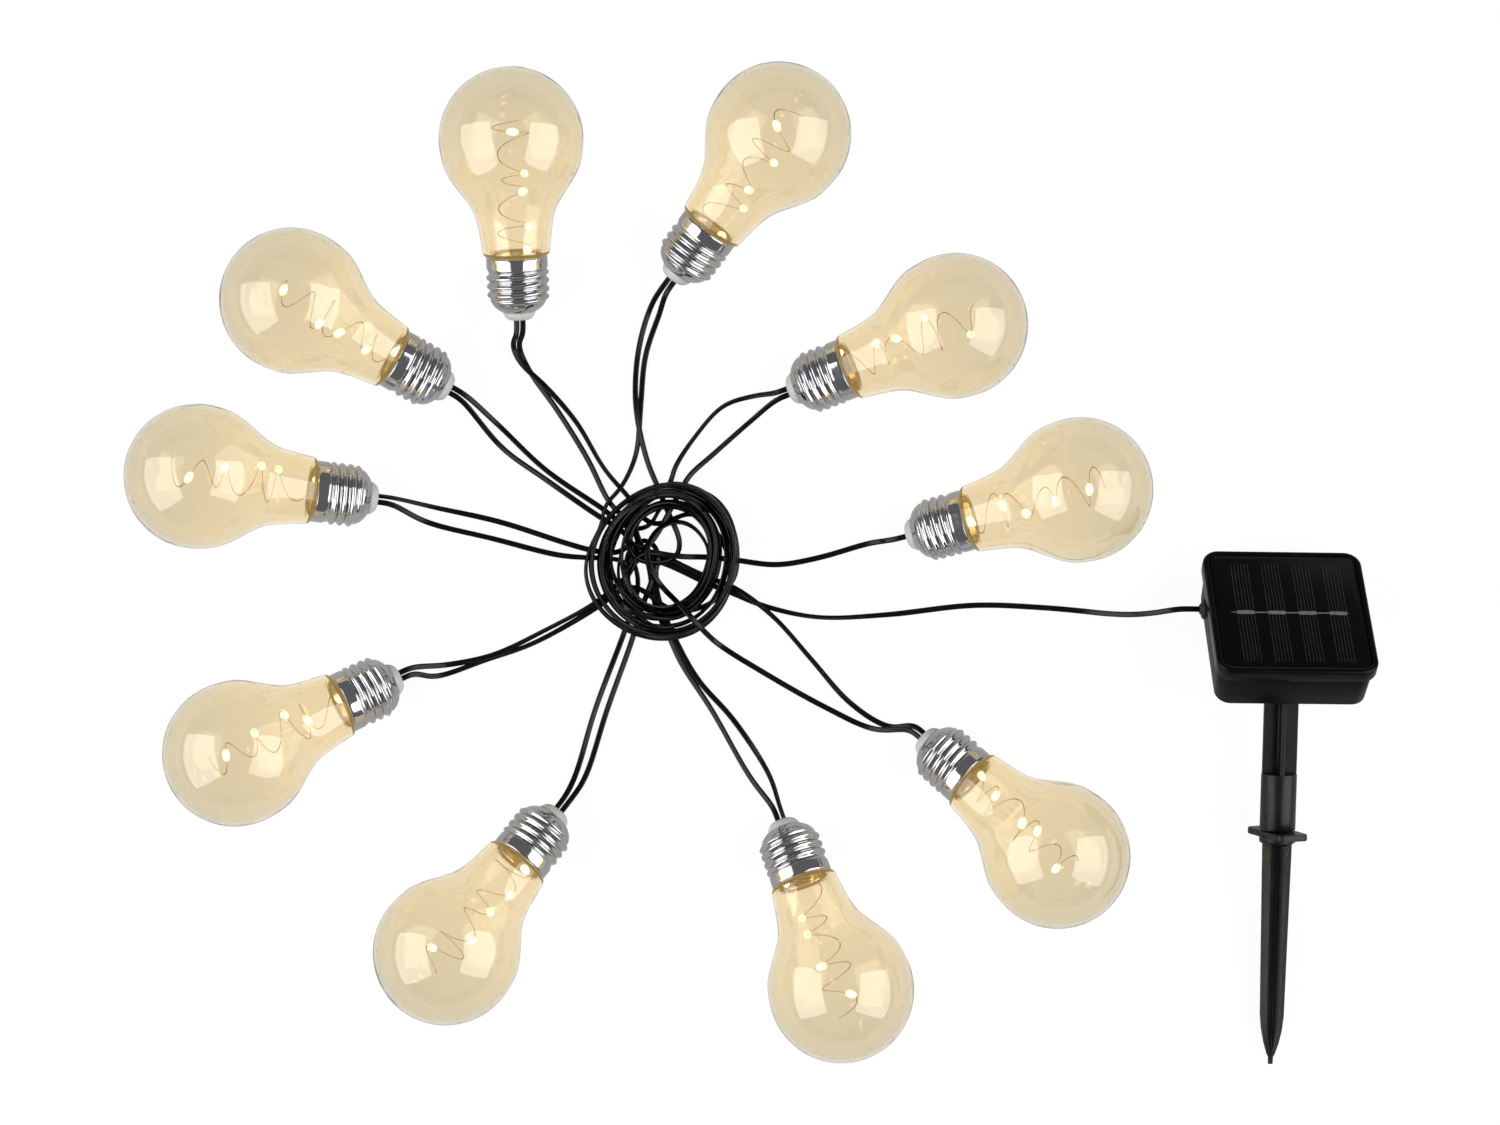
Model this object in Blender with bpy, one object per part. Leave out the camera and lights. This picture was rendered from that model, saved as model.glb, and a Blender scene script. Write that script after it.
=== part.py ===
"""Solar string lights: ten clear bulbs on a twin cord, with a solar box on a two-piece ground stake.

The set lies flat on a floor. Sizes below are in millimetres and become metres in point().
"""

import math

import bmesh
import bpy
import numpy as np
from mathutils import Matrix, Vector

for old in list(bpy.data.objects):
    bpy.data.objects.remove(old, do_unlink=True)

MM = 0.001
GAP = 0.3

# Bulb: stations run along its axis from the globe's centre towards the cord plug.
GLOBE_R = 30.0
GLOBE_WALL = 1.4
NECK_R = 14.3
NECK_END = 48.6
SPIGOT_R = 10.9
SPIGOT_END = 53.2
CAP_R = 12.8
THREAD_ROOT_R = 11.7
THREAD_PITCH = 3.63
THREAD_TURNS = 4
CAP_SKIRT_END = 53.9
CAP_END = 72.0
PLUG_END = 75.7
PLUG_R = 6.7
PLUG_TIP_R = 4.5
CORD_POCKET_R = 2.9
CORD_POCKET_END = 71.4
BULB_LEAN = 15.6  # degrees: a bulb lies on its globe and on the rim of its cap
GLOBE_SIDES, CAP_SIDES, PLUG_SIDES = 12, 10, 8

# LED wire inside each bulb
WIRE_R = 0.5
WIRE_CURL_R = 6.5
WIRE_CURLS = 3
WIRE_TOP = -8.0
WIRE_BASE = 63.7
CURL_POINTS = 8

# Where each bulb lies: globe centre x and y, and the way its cap points, in degrees.
# The order is the order along the cord, starting next to the solar box.
BULB_PLACES = [
    (126.5, -122.0, 138.0),
    (37.5, -177.0, 109.5),
    (-125.0, -161.5, 52.0),
    (-212.0, -80.0, 26.0),
    (-228.5, 34.5, -6.5),
    (-189.5, 107.5, -29.0),
    (-99.0, 174.5, -88.0),
    (12.0, 176.5, -127.5),
    (85.0, 97.0, -159.5),
    (136.5, 29.0, -165.5),
]

# Cord
CORD_R = 1.0
CORD_Z = 1.3
HAIRPIN_R = 1.35
COIL_CENTRE = (-37.3, 0.4)
COIL_INNER_R, COIL_OUTER_R = 17.2, 27.4
COIL_LAYERS = 4
COIL_LAYER_RISE = 2.75
COIL_TURNS_PER_LAYER = 3.09
COIL_START = 12.0  # degrees round the coil's centre
LOOP_POINTS = 24
STRING_RING_R = 30.6  # the string runs round the outside of the coil from bulb to bulb
RUN_STEP, TURN_STEP = 12.0, 3.0

# For each bulb, the cord's way in from the coil and its way back out, as x and y on the floor.
CORD_RUNS = [
    ([(14, -24), (34, -45), (55, -64)], [(50, -72), (27, -59), (0, -43)]),
    ([(-19, -46), (-4, -67), (8, -92)], [(0, -90), (-16, -62), (-29, -42)]),
    ([(-49, -41), (-60, -66), (-69, -90)], [(-75, -89), (-66, -64), (-56, -40)]),
    ([(-74, -27), (-100, -40), (-126, -47)], [(-127, -42), (-101, -35), (-77, -22)]),
    ([(-80, 3), (-106, 10), (-134, 19)], [(-132, 24), (-105, 17), (-79, 9)]),
    ([(-74, 25), (-90, 37), (-107, 53)], [(-104, 58), (-86, 42), (-70, 30)]),
    ([(-66, 37), (-82, 63), (-94, 84)], [(-90, 82), (-75, 60), (-58, 37)]),
    ([(-53, 43), (-48, 66), (-43, 95)], [(-39, 94), (-41, 66), (-39, 43)]),
    ([(-31, 42), (-15, 60), (0, 69)], [(1, 63), (-14, 49), (-25, 39)]),
    ([(11, 12), (29, 6), (50, 8)], []),
]
RING_BEARINGS = [
    (-40, -52), (-72, -89), (-110, -118), (-142, -152), (-183, -190),
    (-214, -222), (-229, -238), (-247, -268), (-277, -287), (-338, None),
]
LEAD_ROUTE = [
    (175, -21, 12.0), (158, -22, 4.0), (123, -19, CORD_Z), (94, -18, CORD_Z),
    (57, -21, CORD_Z), (28, -20, CORD_Z), (14, -14, CORD_Z),
]

# Solar box: its own frame has z = 0 on the back and +y towards the panel's upper edge.
BOX_TILT = 42.3  # degrees between the panel and the horizontal when the stake stands upright
BOX_SINK = 4.0  # the stake's axis meets the box's middle line this far inside its back
COVER_HALF = 33.2
COVER_CORNER = 7.0
COVER_Z = (17.1, 23.2)
COVER_CHAMFER = 1.2
RIM = 2.6
DECK_Z = (19.0, 20.2)
PLATE_Z = (20.5, 22.2)
CASE_HALF_BACK, CASE_HALF_RIM = 31.2, 31.8
CASE_CORNER = 6.3
CASE_Z = 16.0
CASE_FLOOR = 2.0
CAVITY_HALF, CAVITY_CHAMFER = 28.2, 12.4
SEAL_Z = (16.3, 16.8)
SCREW_AT = 25.3
SCREW_R, SCREW_HEAD_R, SCREW_HOLE_R, SCREW_SINK_R = 1.5, 2.5, 1.85, 2.9
SCREW_Z = (0.4, 2.2, 19.3)
BATTERY_R, BATTERY_HALF, BATTERY_Y = 5.25, 22.0, 14.0
CONTACT_WIDTH, CONTACT_T = 8.0, 0.6
BOARD_X, BOARD_Y, BOARD_Z = (-14.0, 26.0), (-16.0, 7.8), (6.5, 7.7)
BUTTON_AT = (21.0, 4.0)
BUTTON_R, BUTTON_FLANGE_R, BUTTON_STEM_R = 3.0, 4.4, 1.5
GLAND_AT = (11.5, 10.5)
GLAND_R, GLAND_NECK_R, GLAND_NOSE_R = 4.2, 2.6, 2.1
GLAND_NOSE_X = -34.6

# Stake: stations run down its axis from the point where it meets the box's middle line.
SOCKET_R, SOCKET_BORE_R = 10.5, 7.55
SOCKET_END, SOCKET_BORE_TOP = 24.8, 13.4
POLE_TOP, POLE_RIB_END, POLE_END = 13.8, 55.0, 78.6
POLE_R, RIB_HALF, SLEEVE_R = 7.2, 1.2, 7.4
PEG_R, PEG_TOP, PEG_BORE_R, PEG_BORE_TOP = 4.0, 62.0, 4.4, 61.0
SPIKE_TURN = -45.0  # degrees round the stake's axis, between the pole's ribs and the spike's
FLANGE_TURN = -69.5  # of the flange's long side
FLANGE_HALF, FLANGE_HALF_WIDTH, FLANGE_CORNER = 13.8, 7.0, 2.5
FLANGE_SPAN = (79.0, 81.8)
SPIKE_STATIONS = [(81.0, 6.9, 1.4), (157.0, 5.5, 1.2), (170.0, 2.8, 1.0), (177.5, 0.9, 0.6)]

# How the solar unit lies: the upper end of the stake's axis, and the unit's turns in degrees.
UNIT_AT = (220.5, -33.6, 25.4)
UNIT_HEADING, UNIT_ROLL, UNIT_PITCH = -0.6, 3.5, 7.5


def material(name, hex_colour, rough, metallic=0.0, clear=0.0):
    """A Principled material from an sRGB hex colour."""
    made = bpy.data.materials.new(name)
    made.use_nodes = True
    shader = made.node_tree.nodes["Principled BSDF"]
    parts = [int(hex_colour[i : i + 2], 16) / 255 for i in (0, 2, 4)]
    linear = [c / 12.92 if c <= 0.04045 else ((c + 0.055) / 1.055) ** 2.4 for c in parts]
    shader.inputs["Base Color"].default_value = (*linear, 1.0)
    shader.inputs["Roughness"].default_value = rough
    shader.inputs["Metallic"].default_value = metallic
    shader.inputs["Transmission Weight"].default_value = clear
    made.diffuse_color = (*linear, 1.0)
    return made


AMBER = material("amber clear polystyrene", "E8D6AA", 0.05, clear=0.9)
CHROME = material("chromed ABS", "C9C9C9", 0.12, metallic=1.0)
WHITE = material("white polypropylene", "DEDEDC", 0.45)
COPPER = material("enamelled copper wire", "A8703C", 0.35, metallic=1.0)
CORD = material("black PVC cord", "161616", 0.45)
GLOSS = material("gloss black ABS", "0C0C0D", 0.12)
SATIN = material("satin black ABS", "1A1A1B", 0.4)
CELL = material("solar laminate", "0A0B10", 0.1)
RUBBER = material("black rubber", "141414", 0.7)
STEEL = material("zinc plated steel", "A9A9A6", 0.3, metallic=1.0)
BATTERY = material("battery sleeve", "3E6B4A", 0.4)
BOARD = material("circuit board", "1F5A37", 0.5)


def point(p):
    return Vector(p) * MM


def add(name, verts, faces, mat, parent=None, matrix=None):
    """An object from points in millimetres, with its faces turned outwards."""
    mesh = bpy.data.meshes.new(name)
    mesh.from_pydata([point(v) for v in verts], [], faces)
    shape = bmesh.new()
    shape.from_mesh(mesh)
    bmesh.ops.recalc_face_normals(shape, faces=shape.faces)
    shape.to_mesh(mesh)
    shape.free()
    if mat:
        mesh.materials.append(mat)
    return place(name, mesh, parent, matrix)


def place(name, data, parent=None, matrix=None):
    obj = bpy.data.objects.new(name, data)
    bpy.context.scene.collection.objects.link(obj)
    obj.parent = parent
    if matrix is not None:
        obj.matrix_local = matrix
    return obj


def empty(name, matrix, parent=None):
    return place(name, None, parent, matrix)


def turned(profile, sides, closed=False):
    """Points and faces of a profile of (radius, height) turned round z. An end at radius 0 closes to a point."""
    verts, rings = [], []
    for r, z in profile:
        count = 1 if r == 0 else sides
        rings.append(list(range(len(verts), len(verts) + count)))
        for k in range(count):
            a = 2 * math.pi * k / sides
            verts.append((r * math.cos(a), r * math.sin(a), z))
    faces = []
    pairs = list(zip(rings, rings[1:])) + ([(rings[-1], rings[0])] if closed else [])
    for low, high in pairs:
        for k in range(sides):
            j = (k + 1) % sides
            corner = [low[k % len(low)], low[j % len(low)], high[j % len(high)], high[k % len(high)]]
            faces.append(list(dict.fromkeys(corner)))
    return verts, faces


def loft(sections):
    """Points and faces of a solid through outlines that have equal numbers of points."""
    n = len(sections[0])
    verts = [p for section in sections for p in section]
    faces = [
        [i * n + k, i * n + (k + 1) % n, (i + 1) * n + (k + 1) % n, (i + 1) * n + k]
        for i in range(len(sections) - 1)
        for k in range(n)
    ]
    faces += [list(range(n))[::-1], list(range(len(verts) - n, len(verts)))]
    return verts, faces


def rounded_oblong(half_x, half_y, corner, z, per_corner=4):
    """An outline of an oblong with round corners at height z."""
    outline = []
    for q in range(4):
        a0 = q * math.pi / 2
        cx = (half_x - corner) * (1 if q in (0, 3) else -1)
        cy = (half_y - corner) * (1 if q in (0, 1) else -1)
        for k in range(per_corner):
            a = a0 + (math.pi / 2) * k / (per_corner - 1)
            outline.append((cx + corner * math.cos(a), cy + corner * math.sin(a), z))
    return outline


def rounded_square(half, corner, z):
    return rounded_oblong(half, half, corner, z)


def cut_square(half, chamfer, z):
    """An outline of a square with straight corners at height z."""
    near = half - chamfer
    return [
        (half, -near, z), (half, near, z), (near, half, z), (-near, half, z),
        (-half, near, z), (-half, -near, z), (-near, -half, z), (near, -half, z),
    ]


def cross(half, rib, z):
    """A plus-shaped outline at height z."""
    h, r = half, rib
    return [
        (h, r, z), (r, r, z), (r, h, z), (-r, h, z), (-r, r, z), (-h, r, z),
        (-h, -r, z), (-r, -r, z), (-r, -h, z), (r, -h, z), (r, -r, z), (h, -r, z),
    ]


def block(x, y, z):
    return loft([[(x[0], y[0], h), (x[1], y[0], h), (x[1], y[1], h), (x[0], y[1], h)] for h in z])


def peg(r, z0, z1, sides=12):
    return turned([(0, z0), (r, z0), (r, z1), (0, z1)], sides)


def helper(name, shape, parent=None, matrix=None):
    """A hidden solid for a Boolean."""
    obj = add(name, *shape, None, parent, matrix)
    obj.hide_render = True
    obj.display_type = "WIRE"
    return obj


def combine(obj, other, operation):
    step = obj.modifiers.new(operation.lower() + " " + other.name, "BOOLEAN")
    step.operation = operation
    step.solver = "EXACT"
    step.object = other


def smooth_path(points, steps):
    """Points along a Catmull-Rom curve through points, steps[i] of them from points[i] to the next."""
    p = np.array([points[0]] + list(points) + [points[-1]], float)
    out = []
    for i in range(len(points) - 1):
        a, b, c, d = p[i : i + 4]
        for t in np.arange(steps[i]) / steps[i]:
            out.append(
                0.5 * (2 * b + (c - a) * t + (2 * a - 5 * b + 4 * c - d) * t**2 + (3 * b - a - 3 * c + d) * t**3)
            )
    return np.array(out + [p[-2]])


def steps_for(points, lengths):
    gaps = np.linalg.norm(np.diff(np.array(points, float), axis=0), axis=1)
    return [max(1, round(g / s)) for g, s in zip(gaps, lengths)]


def tube(name, path, radius, mat, resolution, parent=None):
    """One closed tube along a path in millimetres."""
    curve = bpy.data.curves.new(name, "CURVE")
    curve.dimensions = "3D"
    curve.bevel_depth = radius * MM
    curve.bevel_resolution = resolution
    curve.use_fill_caps = True
    spline = curve.splines.new("POLY")
    spline.points.add(len(path) - 1)
    spline.points.foreach_set("co", np.column_stack([np.array(path) * MM, np.ones(len(path))]).ravel())
    curve.materials.append(mat)
    return place(name, curve, parent)


def self_gap(path, radius, skip):
    """Least clear distance between stretches of a tube that are further apart along it than skip."""
    fine = np.concatenate([np.linspace(a, b, 5)[:-1] for a, b in zip(path, path[1:])])
    along = np.concatenate([[0], np.cumsum(np.linalg.norm(np.diff(fine, axis=0), axis=1))])
    least = np.inf
    for i in range(0, len(fine), 2):
        far = np.abs(along - along[i]) > skip
        if far.any():
            least = min(least, np.linalg.norm(fine[far] - fine[i], axis=1).min())
    return least - 2 * radius


def on_ring(radius, bearing, z=CORD_Z):
    a = math.radians(bearing)
    return (COIL_CENTRE[0] + radius * math.cos(a), COIL_CENTRE[1] + radius * math.sin(a), z)


# Shapes that all ten bulbs share
def globe_profile():
    r, w = GLOBE_R, GLOBE_WALL
    outer = [(0, -r - 0.3)]
    outer += [(r * math.sin(math.radians(a)), -r * math.cos(math.radians(a))) for a in (28, 56, 84, 113)]
    outer += [(20.6, 24.0), (16.0, 35.0), (NECK_R, 45.3), (12.9, NECK_END)]
    spigot = [(SPIGOT_R, NECK_END), (SPIGOT_R, SPIGOT_END), (SPIGOT_R - w, SPIGOT_END)]
    q = r - 1.3 * w
    inner = [(NECK_R - w - 0.2, 42.0), (18.4, 24.0)]
    inner += [(q * math.sin(math.radians(a)), -q * math.cos(math.radians(a))) for a in (113, 78, 40)]
    return outer + spigot + inner + [(0, -q - 0.6)]


def cap_profile():
    outer = [(CAP_R, NECK_END + GAP), (CAP_R, CAP_SKIRT_END)]
    start = CAP_SKIRT_END + 0.6
    for k in range(THREAD_TURNS):
        outer += [(THREAD_ROOT_R, start + k * THREAD_PITCH), (CAP_R, start + (k + 0.5) * THREAD_PITCH)]
    outer += [(10.6, CAP_END - 2.8), (PLUG_R + 0.2, CAP_END)]
    inner = [(PLUG_R - 0.7, CAP_END - 0.3), (10.8, 66.5), (10.8, SPIGOT_END + 0.9)]
    skirt = CAP_R - 0.9
    return outer + inner + [(skirt, SPIGOT_END + 0.6), (skirt, NECK_END + GAP)]


def plug_profile():
    stem = PLUG_R - 1.5
    return [
        (0, WIRE_BASE + GAP), (stem, WIRE_BASE + GAP), (stem, CAP_END + GAP), (PLUG_R, CAP_END + GAP),
        (PLUG_TIP_R, PLUG_END), (CORD_POCKET_R, PLUG_END), (CORD_POCKET_R, CORD_POCKET_END), (0, CORD_POCKET_END),
    ]


def wire_path():
    """The LED wire: straight up the neck, then loose curls that widen into the globe."""
    turns = np.arange(WIRE_CURLS * CURL_POINTS + 1) / CURL_POINTS
    share = turns / WIRE_CURLS
    r = WIRE_CURL_R * np.minimum(1, 0.35 + 1.6 * share) * np.where(share > 0.9, 0.8, 1.0)
    s = 49.0 + (WIRE_TOP - 49.0) * share
    curls = np.column_stack([r * np.cos(2 * np.pi * turns), r * np.sin(2 * np.pi * turns), s])
    return np.vstack([[(0, 0, WIRE_BASE), (0, 0, WIRE_BASE - 4.0)], curls])


bulb_frames = []
shared = {}
for number, (x, y, heading) in enumerate(BULB_PLACES, 1):
    a, lean = math.radians(heading), math.radians(BULB_LEAN)
    axis = Vector((math.cos(a) * math.cos(lean), math.sin(a) * math.cos(lean), -math.sin(lean)))
    side = Vector((-math.sin(a), math.cos(a), 0))
    frame = Matrix((side, axis.cross(side), axis)).transposed().to_4x4()
    frame.translation = point((x, y, GLOBE_R))
    holder = empty(f"bulb_{number}", frame)
    bulb_frames.append(frame)
    pieces = {
        "globe": (lambda: turned(globe_profile(), GLOBE_SIDES), AMBER),
        "screw_cap": (lambda: turned(cap_profile(), CAP_SIDES, closed=True), CHROME),
        "cord_plug": (lambda: turned(plug_profile(), PLUG_SIDES), WHITE),
    }
    for kind, (shape, mat) in pieces.items():
        name = f"{kind}_{number}"
        if kind in shared:
            place(name, shared[kind], holder)
        else:
            shared[kind] = add(name, *shape(), mat, holder).data
    if "wire" in shared:
        place(f"led_wire_{number}", shared["wire"], holder)
    else:
        shared["wire"] = tube(f"led_wire_{number}", wire_path(), WIRE_R, COPPER, 0, holder).data


# Cord: the coil, then the string from bulb to bulb, then the lead to the solar box.
def coil_path():
    """Layers that spiral in and out at a steady rate, climbing in a half turn at each reversal."""
    turn, rows = 0.0, []
    bearings, radii, heights = [], [], []
    for layer in range(COIL_LAYERS):
        t = np.arange(0, COIL_TURNS_PER_LAYER, 1 / LOOP_POINTS)
        share = t / COIL_TURNS_PER_LAYER
        ends = (COIL_OUTER_R, COIL_INNER_R) if layer % 2 == 0 else (COIL_INNER_R, COIL_OUTER_R)
        bearings.append(turn + t)
        radii.append(ends[0] + (ends[1] - ends[0]) * share)
        heights.append(np.full(len(t), CORD_Z + layer * COIL_LAYER_RISE))
        turn += COIL_TURNS_PER_LAYER
        if layer < COIL_LAYERS - 1:
            t = np.arange(0, 0.5, 1 / LOOP_POINTS)
            bearings.append(turn + t)
            radii.append(np.full(len(t), ends[1]))
            heights.append(CORD_Z + (layer + 2 * t) * COIL_LAYER_RISE)
            turn += 0.5
    b = 2 * np.pi * np.concatenate(bearings) + math.radians(COIL_START)
    r, z = np.concatenate(radii), np.concatenate(heights)
    loops = np.column_stack([COIL_CENTRE[0] + r * np.cos(b), COIL_CENTRE[1] + r * np.sin(b), z])
    last = math.degrees(b[-1]) % 360 - 360
    top = z[-1]
    way_in = [on_ring(41, -7), on_ring(38, -7), on_ring(33.4, -5), on_ring(29.4, 2)]
    way_out = [
        on_ring(COIL_OUTER_R + 0.7, last + 9, top), on_ring(30.6, last + 15, top - 1.2),
        on_ring(34.5, last + 18, top - 4.0), on_ring(38.5, last + 18.5, CORD_Z + 0.6), on_ring(41, last + 18.5, CORD_Z),
        on_ring(43, last + 18.5, CORD_Z),
    ]
    return np.vstack([way_in, loops, way_out])


coil = coil_path()
tube("cord_coil", coil, CORD_R, CORD, 1)
print(f"cord_coil: {len(coil)} points, least gap to itself {self_gap(coil, CORD_R, 12):.2f} mm")


def plug_end(frame, lateral, station):
    """A point on a bulb's own frame, in millimetres."""
    return tuple(frame @ point((lateral, 0, station)) / MM)


def string_path():
    """From the coil's upper end out to each bulb, round a hairpin in its plug, and back to the coil's rim."""
    coil_end = Vector(coil[-1])
    outward = (coil_end - Vector(coil[-2])).normalized()
    route = [tuple(coil_end + outward * GAP), tuple(coil_end + outward * (GAP + 2 * CORD_R))]
    fine = [TURN_STEP]
    bend = CORD_POCKET_END + GAP + 0.1 + CORD_R + HAIRPIN_R
    for k, (frame, runs, bearings) in enumerate(zip(bulb_frames, CORD_RUNS, RING_BEARINGS)):
        low = 3.2
        if k:
            before = RING_BEARINGS[k - 1][1]
            between = np.linspace(before, bearings[0], max(2, round(abs(before - bearings[0]) / 14) + 1))
            if abs(before - bearings[0]) < 12:
                between = [(before + bearings[0]) / 2]
            for b in between:
                route.append(on_ring(STRING_RING_R, b))
                fine.append(2 * TURN_STEP)
        way_in = [(*p, CORD_Z) for p in runs[0]]
        way_in[-1] = (*runs[0][-1], low)
        route += way_in
        fine += [RUN_STEP] * len(way_in)
        if not runs[1]:
            route += [plug_end(frame, 0, s) for s in (PLUG_END + 5, PLUG_END, CORD_POCKET_END + GAP)]
            fine += [RUN_STEP] * 3
            break
        turn = [(-HAIRPIN_R, PLUG_END + 3.4), (-HAIRPIN_R, bend)]
        turn += [(-HAIRPIN_R * math.cos(a), bend - HAIRPIN_R * math.sin(a)) for a in np.radians([45, 90, 135])]
        turn += [(HAIRPIN_R, bend), (HAIRPIN_R, PLUG_END + 3.4)]
        route += [plug_end(frame, *t) for t in turn]
        fine += [RUN_STEP] * 2 + [9.0] * 5
        way_out = [(*p, CORD_Z) for p in runs[1]]
        way_out[0] = (*runs[1][0], low)
        route += way_out
        fine += [RUN_STEP] * len(way_out)
    return smooth_path(route, steps_for(route, fine))


string = string_path()
tube("string_cord", string, CORD_R, CORD, 1)
print(f"string_cord: {len(string)} points, least gap to itself {self_gap(string, CORD_R, 9):.2f} mm")


# Solar unit
def turn_about(axis, degrees):
    return Matrix.Rotation(math.radians(degrees), 4, axis)


unit_matrix = (
    Matrix.Translation(point(UNIT_AT))
    @ turn_about("Z", UNIT_HEADING)
    @ turn_about("Y", UNIT_ROLL)
    @ turn_about("X", UNIT_PITCH - 90)
)
unit = empty("solar_unit", unit_matrix)
box_matrix = turn_about("X", BOX_TILT) @ Matrix.Translation(point((0, 0, -BOX_SINK)))
box = empty("solar_box", box_matrix, unit)

z0, z1 = COVER_Z
cover = add(
    "panel_cover",
    *loft([
        rounded_square(COVER_HALF, COVER_CORNER, z0),
        rounded_square(COVER_HALF, COVER_CORNER, z1 - COVER_CHAMFER),
        rounded_square(COVER_HALF - COVER_CHAMFER, COVER_CORNER - COVER_CHAMFER, z1),
    ]),
    GLOSS,
    box,
)
window = COVER_HALF - RIM
recess = helper("cut_recess", loft([rounded_square(window, 4.0, z) for z in (DECK_Z[1], z1 + 1)]), box)
under = helper("cut_under", loft([cut_square(COVER_HALF - 3.6, CAVITY_CHAMFER + 2.8, z) for z in (z0 - 1, DECK_Z[0])]), box)
wire_hole = helper("cut_wire_hole", peg(2.0, DECK_Z[0] - 2, DECK_Z[1] + 2, 8), box)
for cutter in (recess, under, wire_hole):
    combine(cover, cutter, "DIFFERENCE")

add(
    "solar_plate",
    *loft([rounded_square(window - GAP, 3.7, z) for z in PLATE_Z]),
    CELL,
    box,
)

case = add(
    "back_case",
    *loft([
        rounded_square(CASE_HALF_BACK - 0.8, CASE_CORNER - 0.8, 0),
        rounded_square(CASE_HALF_BACK, CASE_CORNER, 0.8),
        rounded_square(CASE_HALF_RIM, CASE_CORNER, CASE_Z),
    ]),
    SATIN,
    box,
)
down = Vector((0, -math.sin(math.radians(BOX_TILT)), -math.cos(math.radians(BOX_TILT))))
across = Vector((0, math.cos(math.radians(BOX_TILT)), -math.sin(math.radians(BOX_TILT))))
rim, foot = [], []
for k in range(16):
    a = 2 * math.pi * k / 16
    on_end = Vector((0, 0, BOX_SINK)) + SOCKET_END * down + SOCKET_R * (math.cos(a) * Vector((1, 0, 0)) + math.sin(a) * across)
    rim.append(tuple(on_end))
    foot.append(tuple(on_end + down * ((1.0 - on_end.z) / down.z)))
socket = helper("join_socket", loft([foot, rim]), box)
socket_bore = helper(
    "cut_socket", turned([(0, -SOCKET_BORE_TOP), (SOCKET_BORE_R, -SOCKET_BORE_TOP), (SOCKET_BORE_R, -SOCKET_END - 5), (0, -SOCKET_END - 5)], 16), unit
)
combine(case, socket, "UNION")
combine(case, socket_bore, "DIFFERENCE")
cavity = helper("cut_cavity", loft([cut_square(CAVITY_HALF, CAVITY_CHAMFER, z) for z in (CASE_FLOOR, CASE_Z + 1)]), box)
combine(case, cavity, "DIFFERENCE")
for k, (px, py) in enumerate([(-9.0, -11.0), (20.0, -11.0)], 1):
    post = helper(f"join_post_{k}", peg(2.0, CASE_FLOOR - 1, BOARD_Z[0] - GAP, 8), box, Matrix.Translation(point((px, py, 0))))
    combine(case, post, "UNION")
gland_hole = helper(
    "cut_gland", peg(GLAND_NECK_R + GAP, -40, -24, 10), box,
    Matrix.Translation(point((0, *GLAND_AT))) @ turn_about("Y", 90),
)
combine(case, gland_hole, "DIFFERENCE")
button_hole = helper("cut_button", peg(BUTTON_R + GAP, -3, CASE_FLOOR + 2, 10), box, Matrix.Translation(point((*BUTTON_AT, 0))))
combine(case, button_hole, "DIFFERENCE")

corners = [(sx * SCREW_AT, sy * SCREW_AT) for sx in (-1, 1) for sy in (-1, 1)]
head, shoulder, end = SCREW_Z
for k, (sx, sy) in enumerate(corners, 1):
    at = Matrix.Translation(point((sx, sy, 0)))
    through = helper(
        f"cut_screw_{k}",
        turned([(0, -2), (SCREW_SINK_R, -2), (SCREW_SINK_R, shoulder + GAP), (SCREW_HOLE_R, shoulder + GAP), (SCREW_HOLE_R, end + GAP), (0, end + GAP)], 8),
        box, at,
    )
    combine(case, through, "DIFFERENCE")
    combine(cover, through, "DIFFERENCE")
    add(
        f"case_screw_{k}",
        *turned([(0, head), (SCREW_HEAD_R, head), (SCREW_HEAD_R, shoulder), (SCREW_R, shoulder), (SCREW_R, end - 1), (0, end)], 8),
        STEEL, box, at,
    )

low, high = SEAL_Z
outer_edge = [rounded_square(CASE_HALF_RIM - 0.5, CASE_CORNER - 0.5, z) for z in (low, high)]
inner_edge = [rounded_square(CAVITY_HALF + 0.4, 3.0, z) for z in (low, high)]
ring = outer_edge[0] + outer_edge[1] + inner_edge[1] + inner_edge[0]
n = len(outer_edge[0])
ring_faces = [
    [s * n + k, s * n + (k + 1) % n, ((s + 1) % 4) * n + (k + 1) % n, ((s + 1) % 4) * n + k]
    for s in range(4)
    for k in range(n)
]
add("case_seal", ring, ring_faces, RUBBER, box)

lay = Matrix.Translation(point((0, BATTERY_Y, CASE_FLOOR + GAP + 0.1 + BATTERY_R))) @ turn_about("Y", 90)
nub = 2.6
add(
    "battery",
    *turned([(0, -BATTERY_HALF), (BATTERY_R, -BATTERY_HALF), (BATTERY_R, BATTERY_HALF - 1), (nub, BATTERY_HALF - 1), (nub, BATTERY_HALF), (0, BATTERY_HALF)], 12),
    BATTERY, box, lay,
)
for name, sign in (("battery_contact_minus", -1), ("battery_contact_plus", 1)):
    near, far = sign * (BATTERY_HALF + GAP), sign * (BATTERY_HALF + GAP + CONTACT_T)
    half = CONTACT_WIDTH / 2
    add(
        name,
        *block(sorted((near, far)), (BATTERY_Y - half, BATTERY_Y + half), (CASE_FLOOR + GAP, CASE_FLOOR + 2 * BATTERY_R + 1)),
        STEEL, box,
    )

board = add("circuit_board", *block(BOARD_X, BOARD_Y, BOARD_Z), BOARD, box)
bx, by = BUTTON_AT
switch = helper("join_switch", block((bx - 2.5, bx + 2.5), (by - 2.5, by + 2.5), (BOARD_Z[0] - 1.0, BOARD_Z[0] + 0.6)), box)
combine(board, switch, "UNION")

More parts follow.
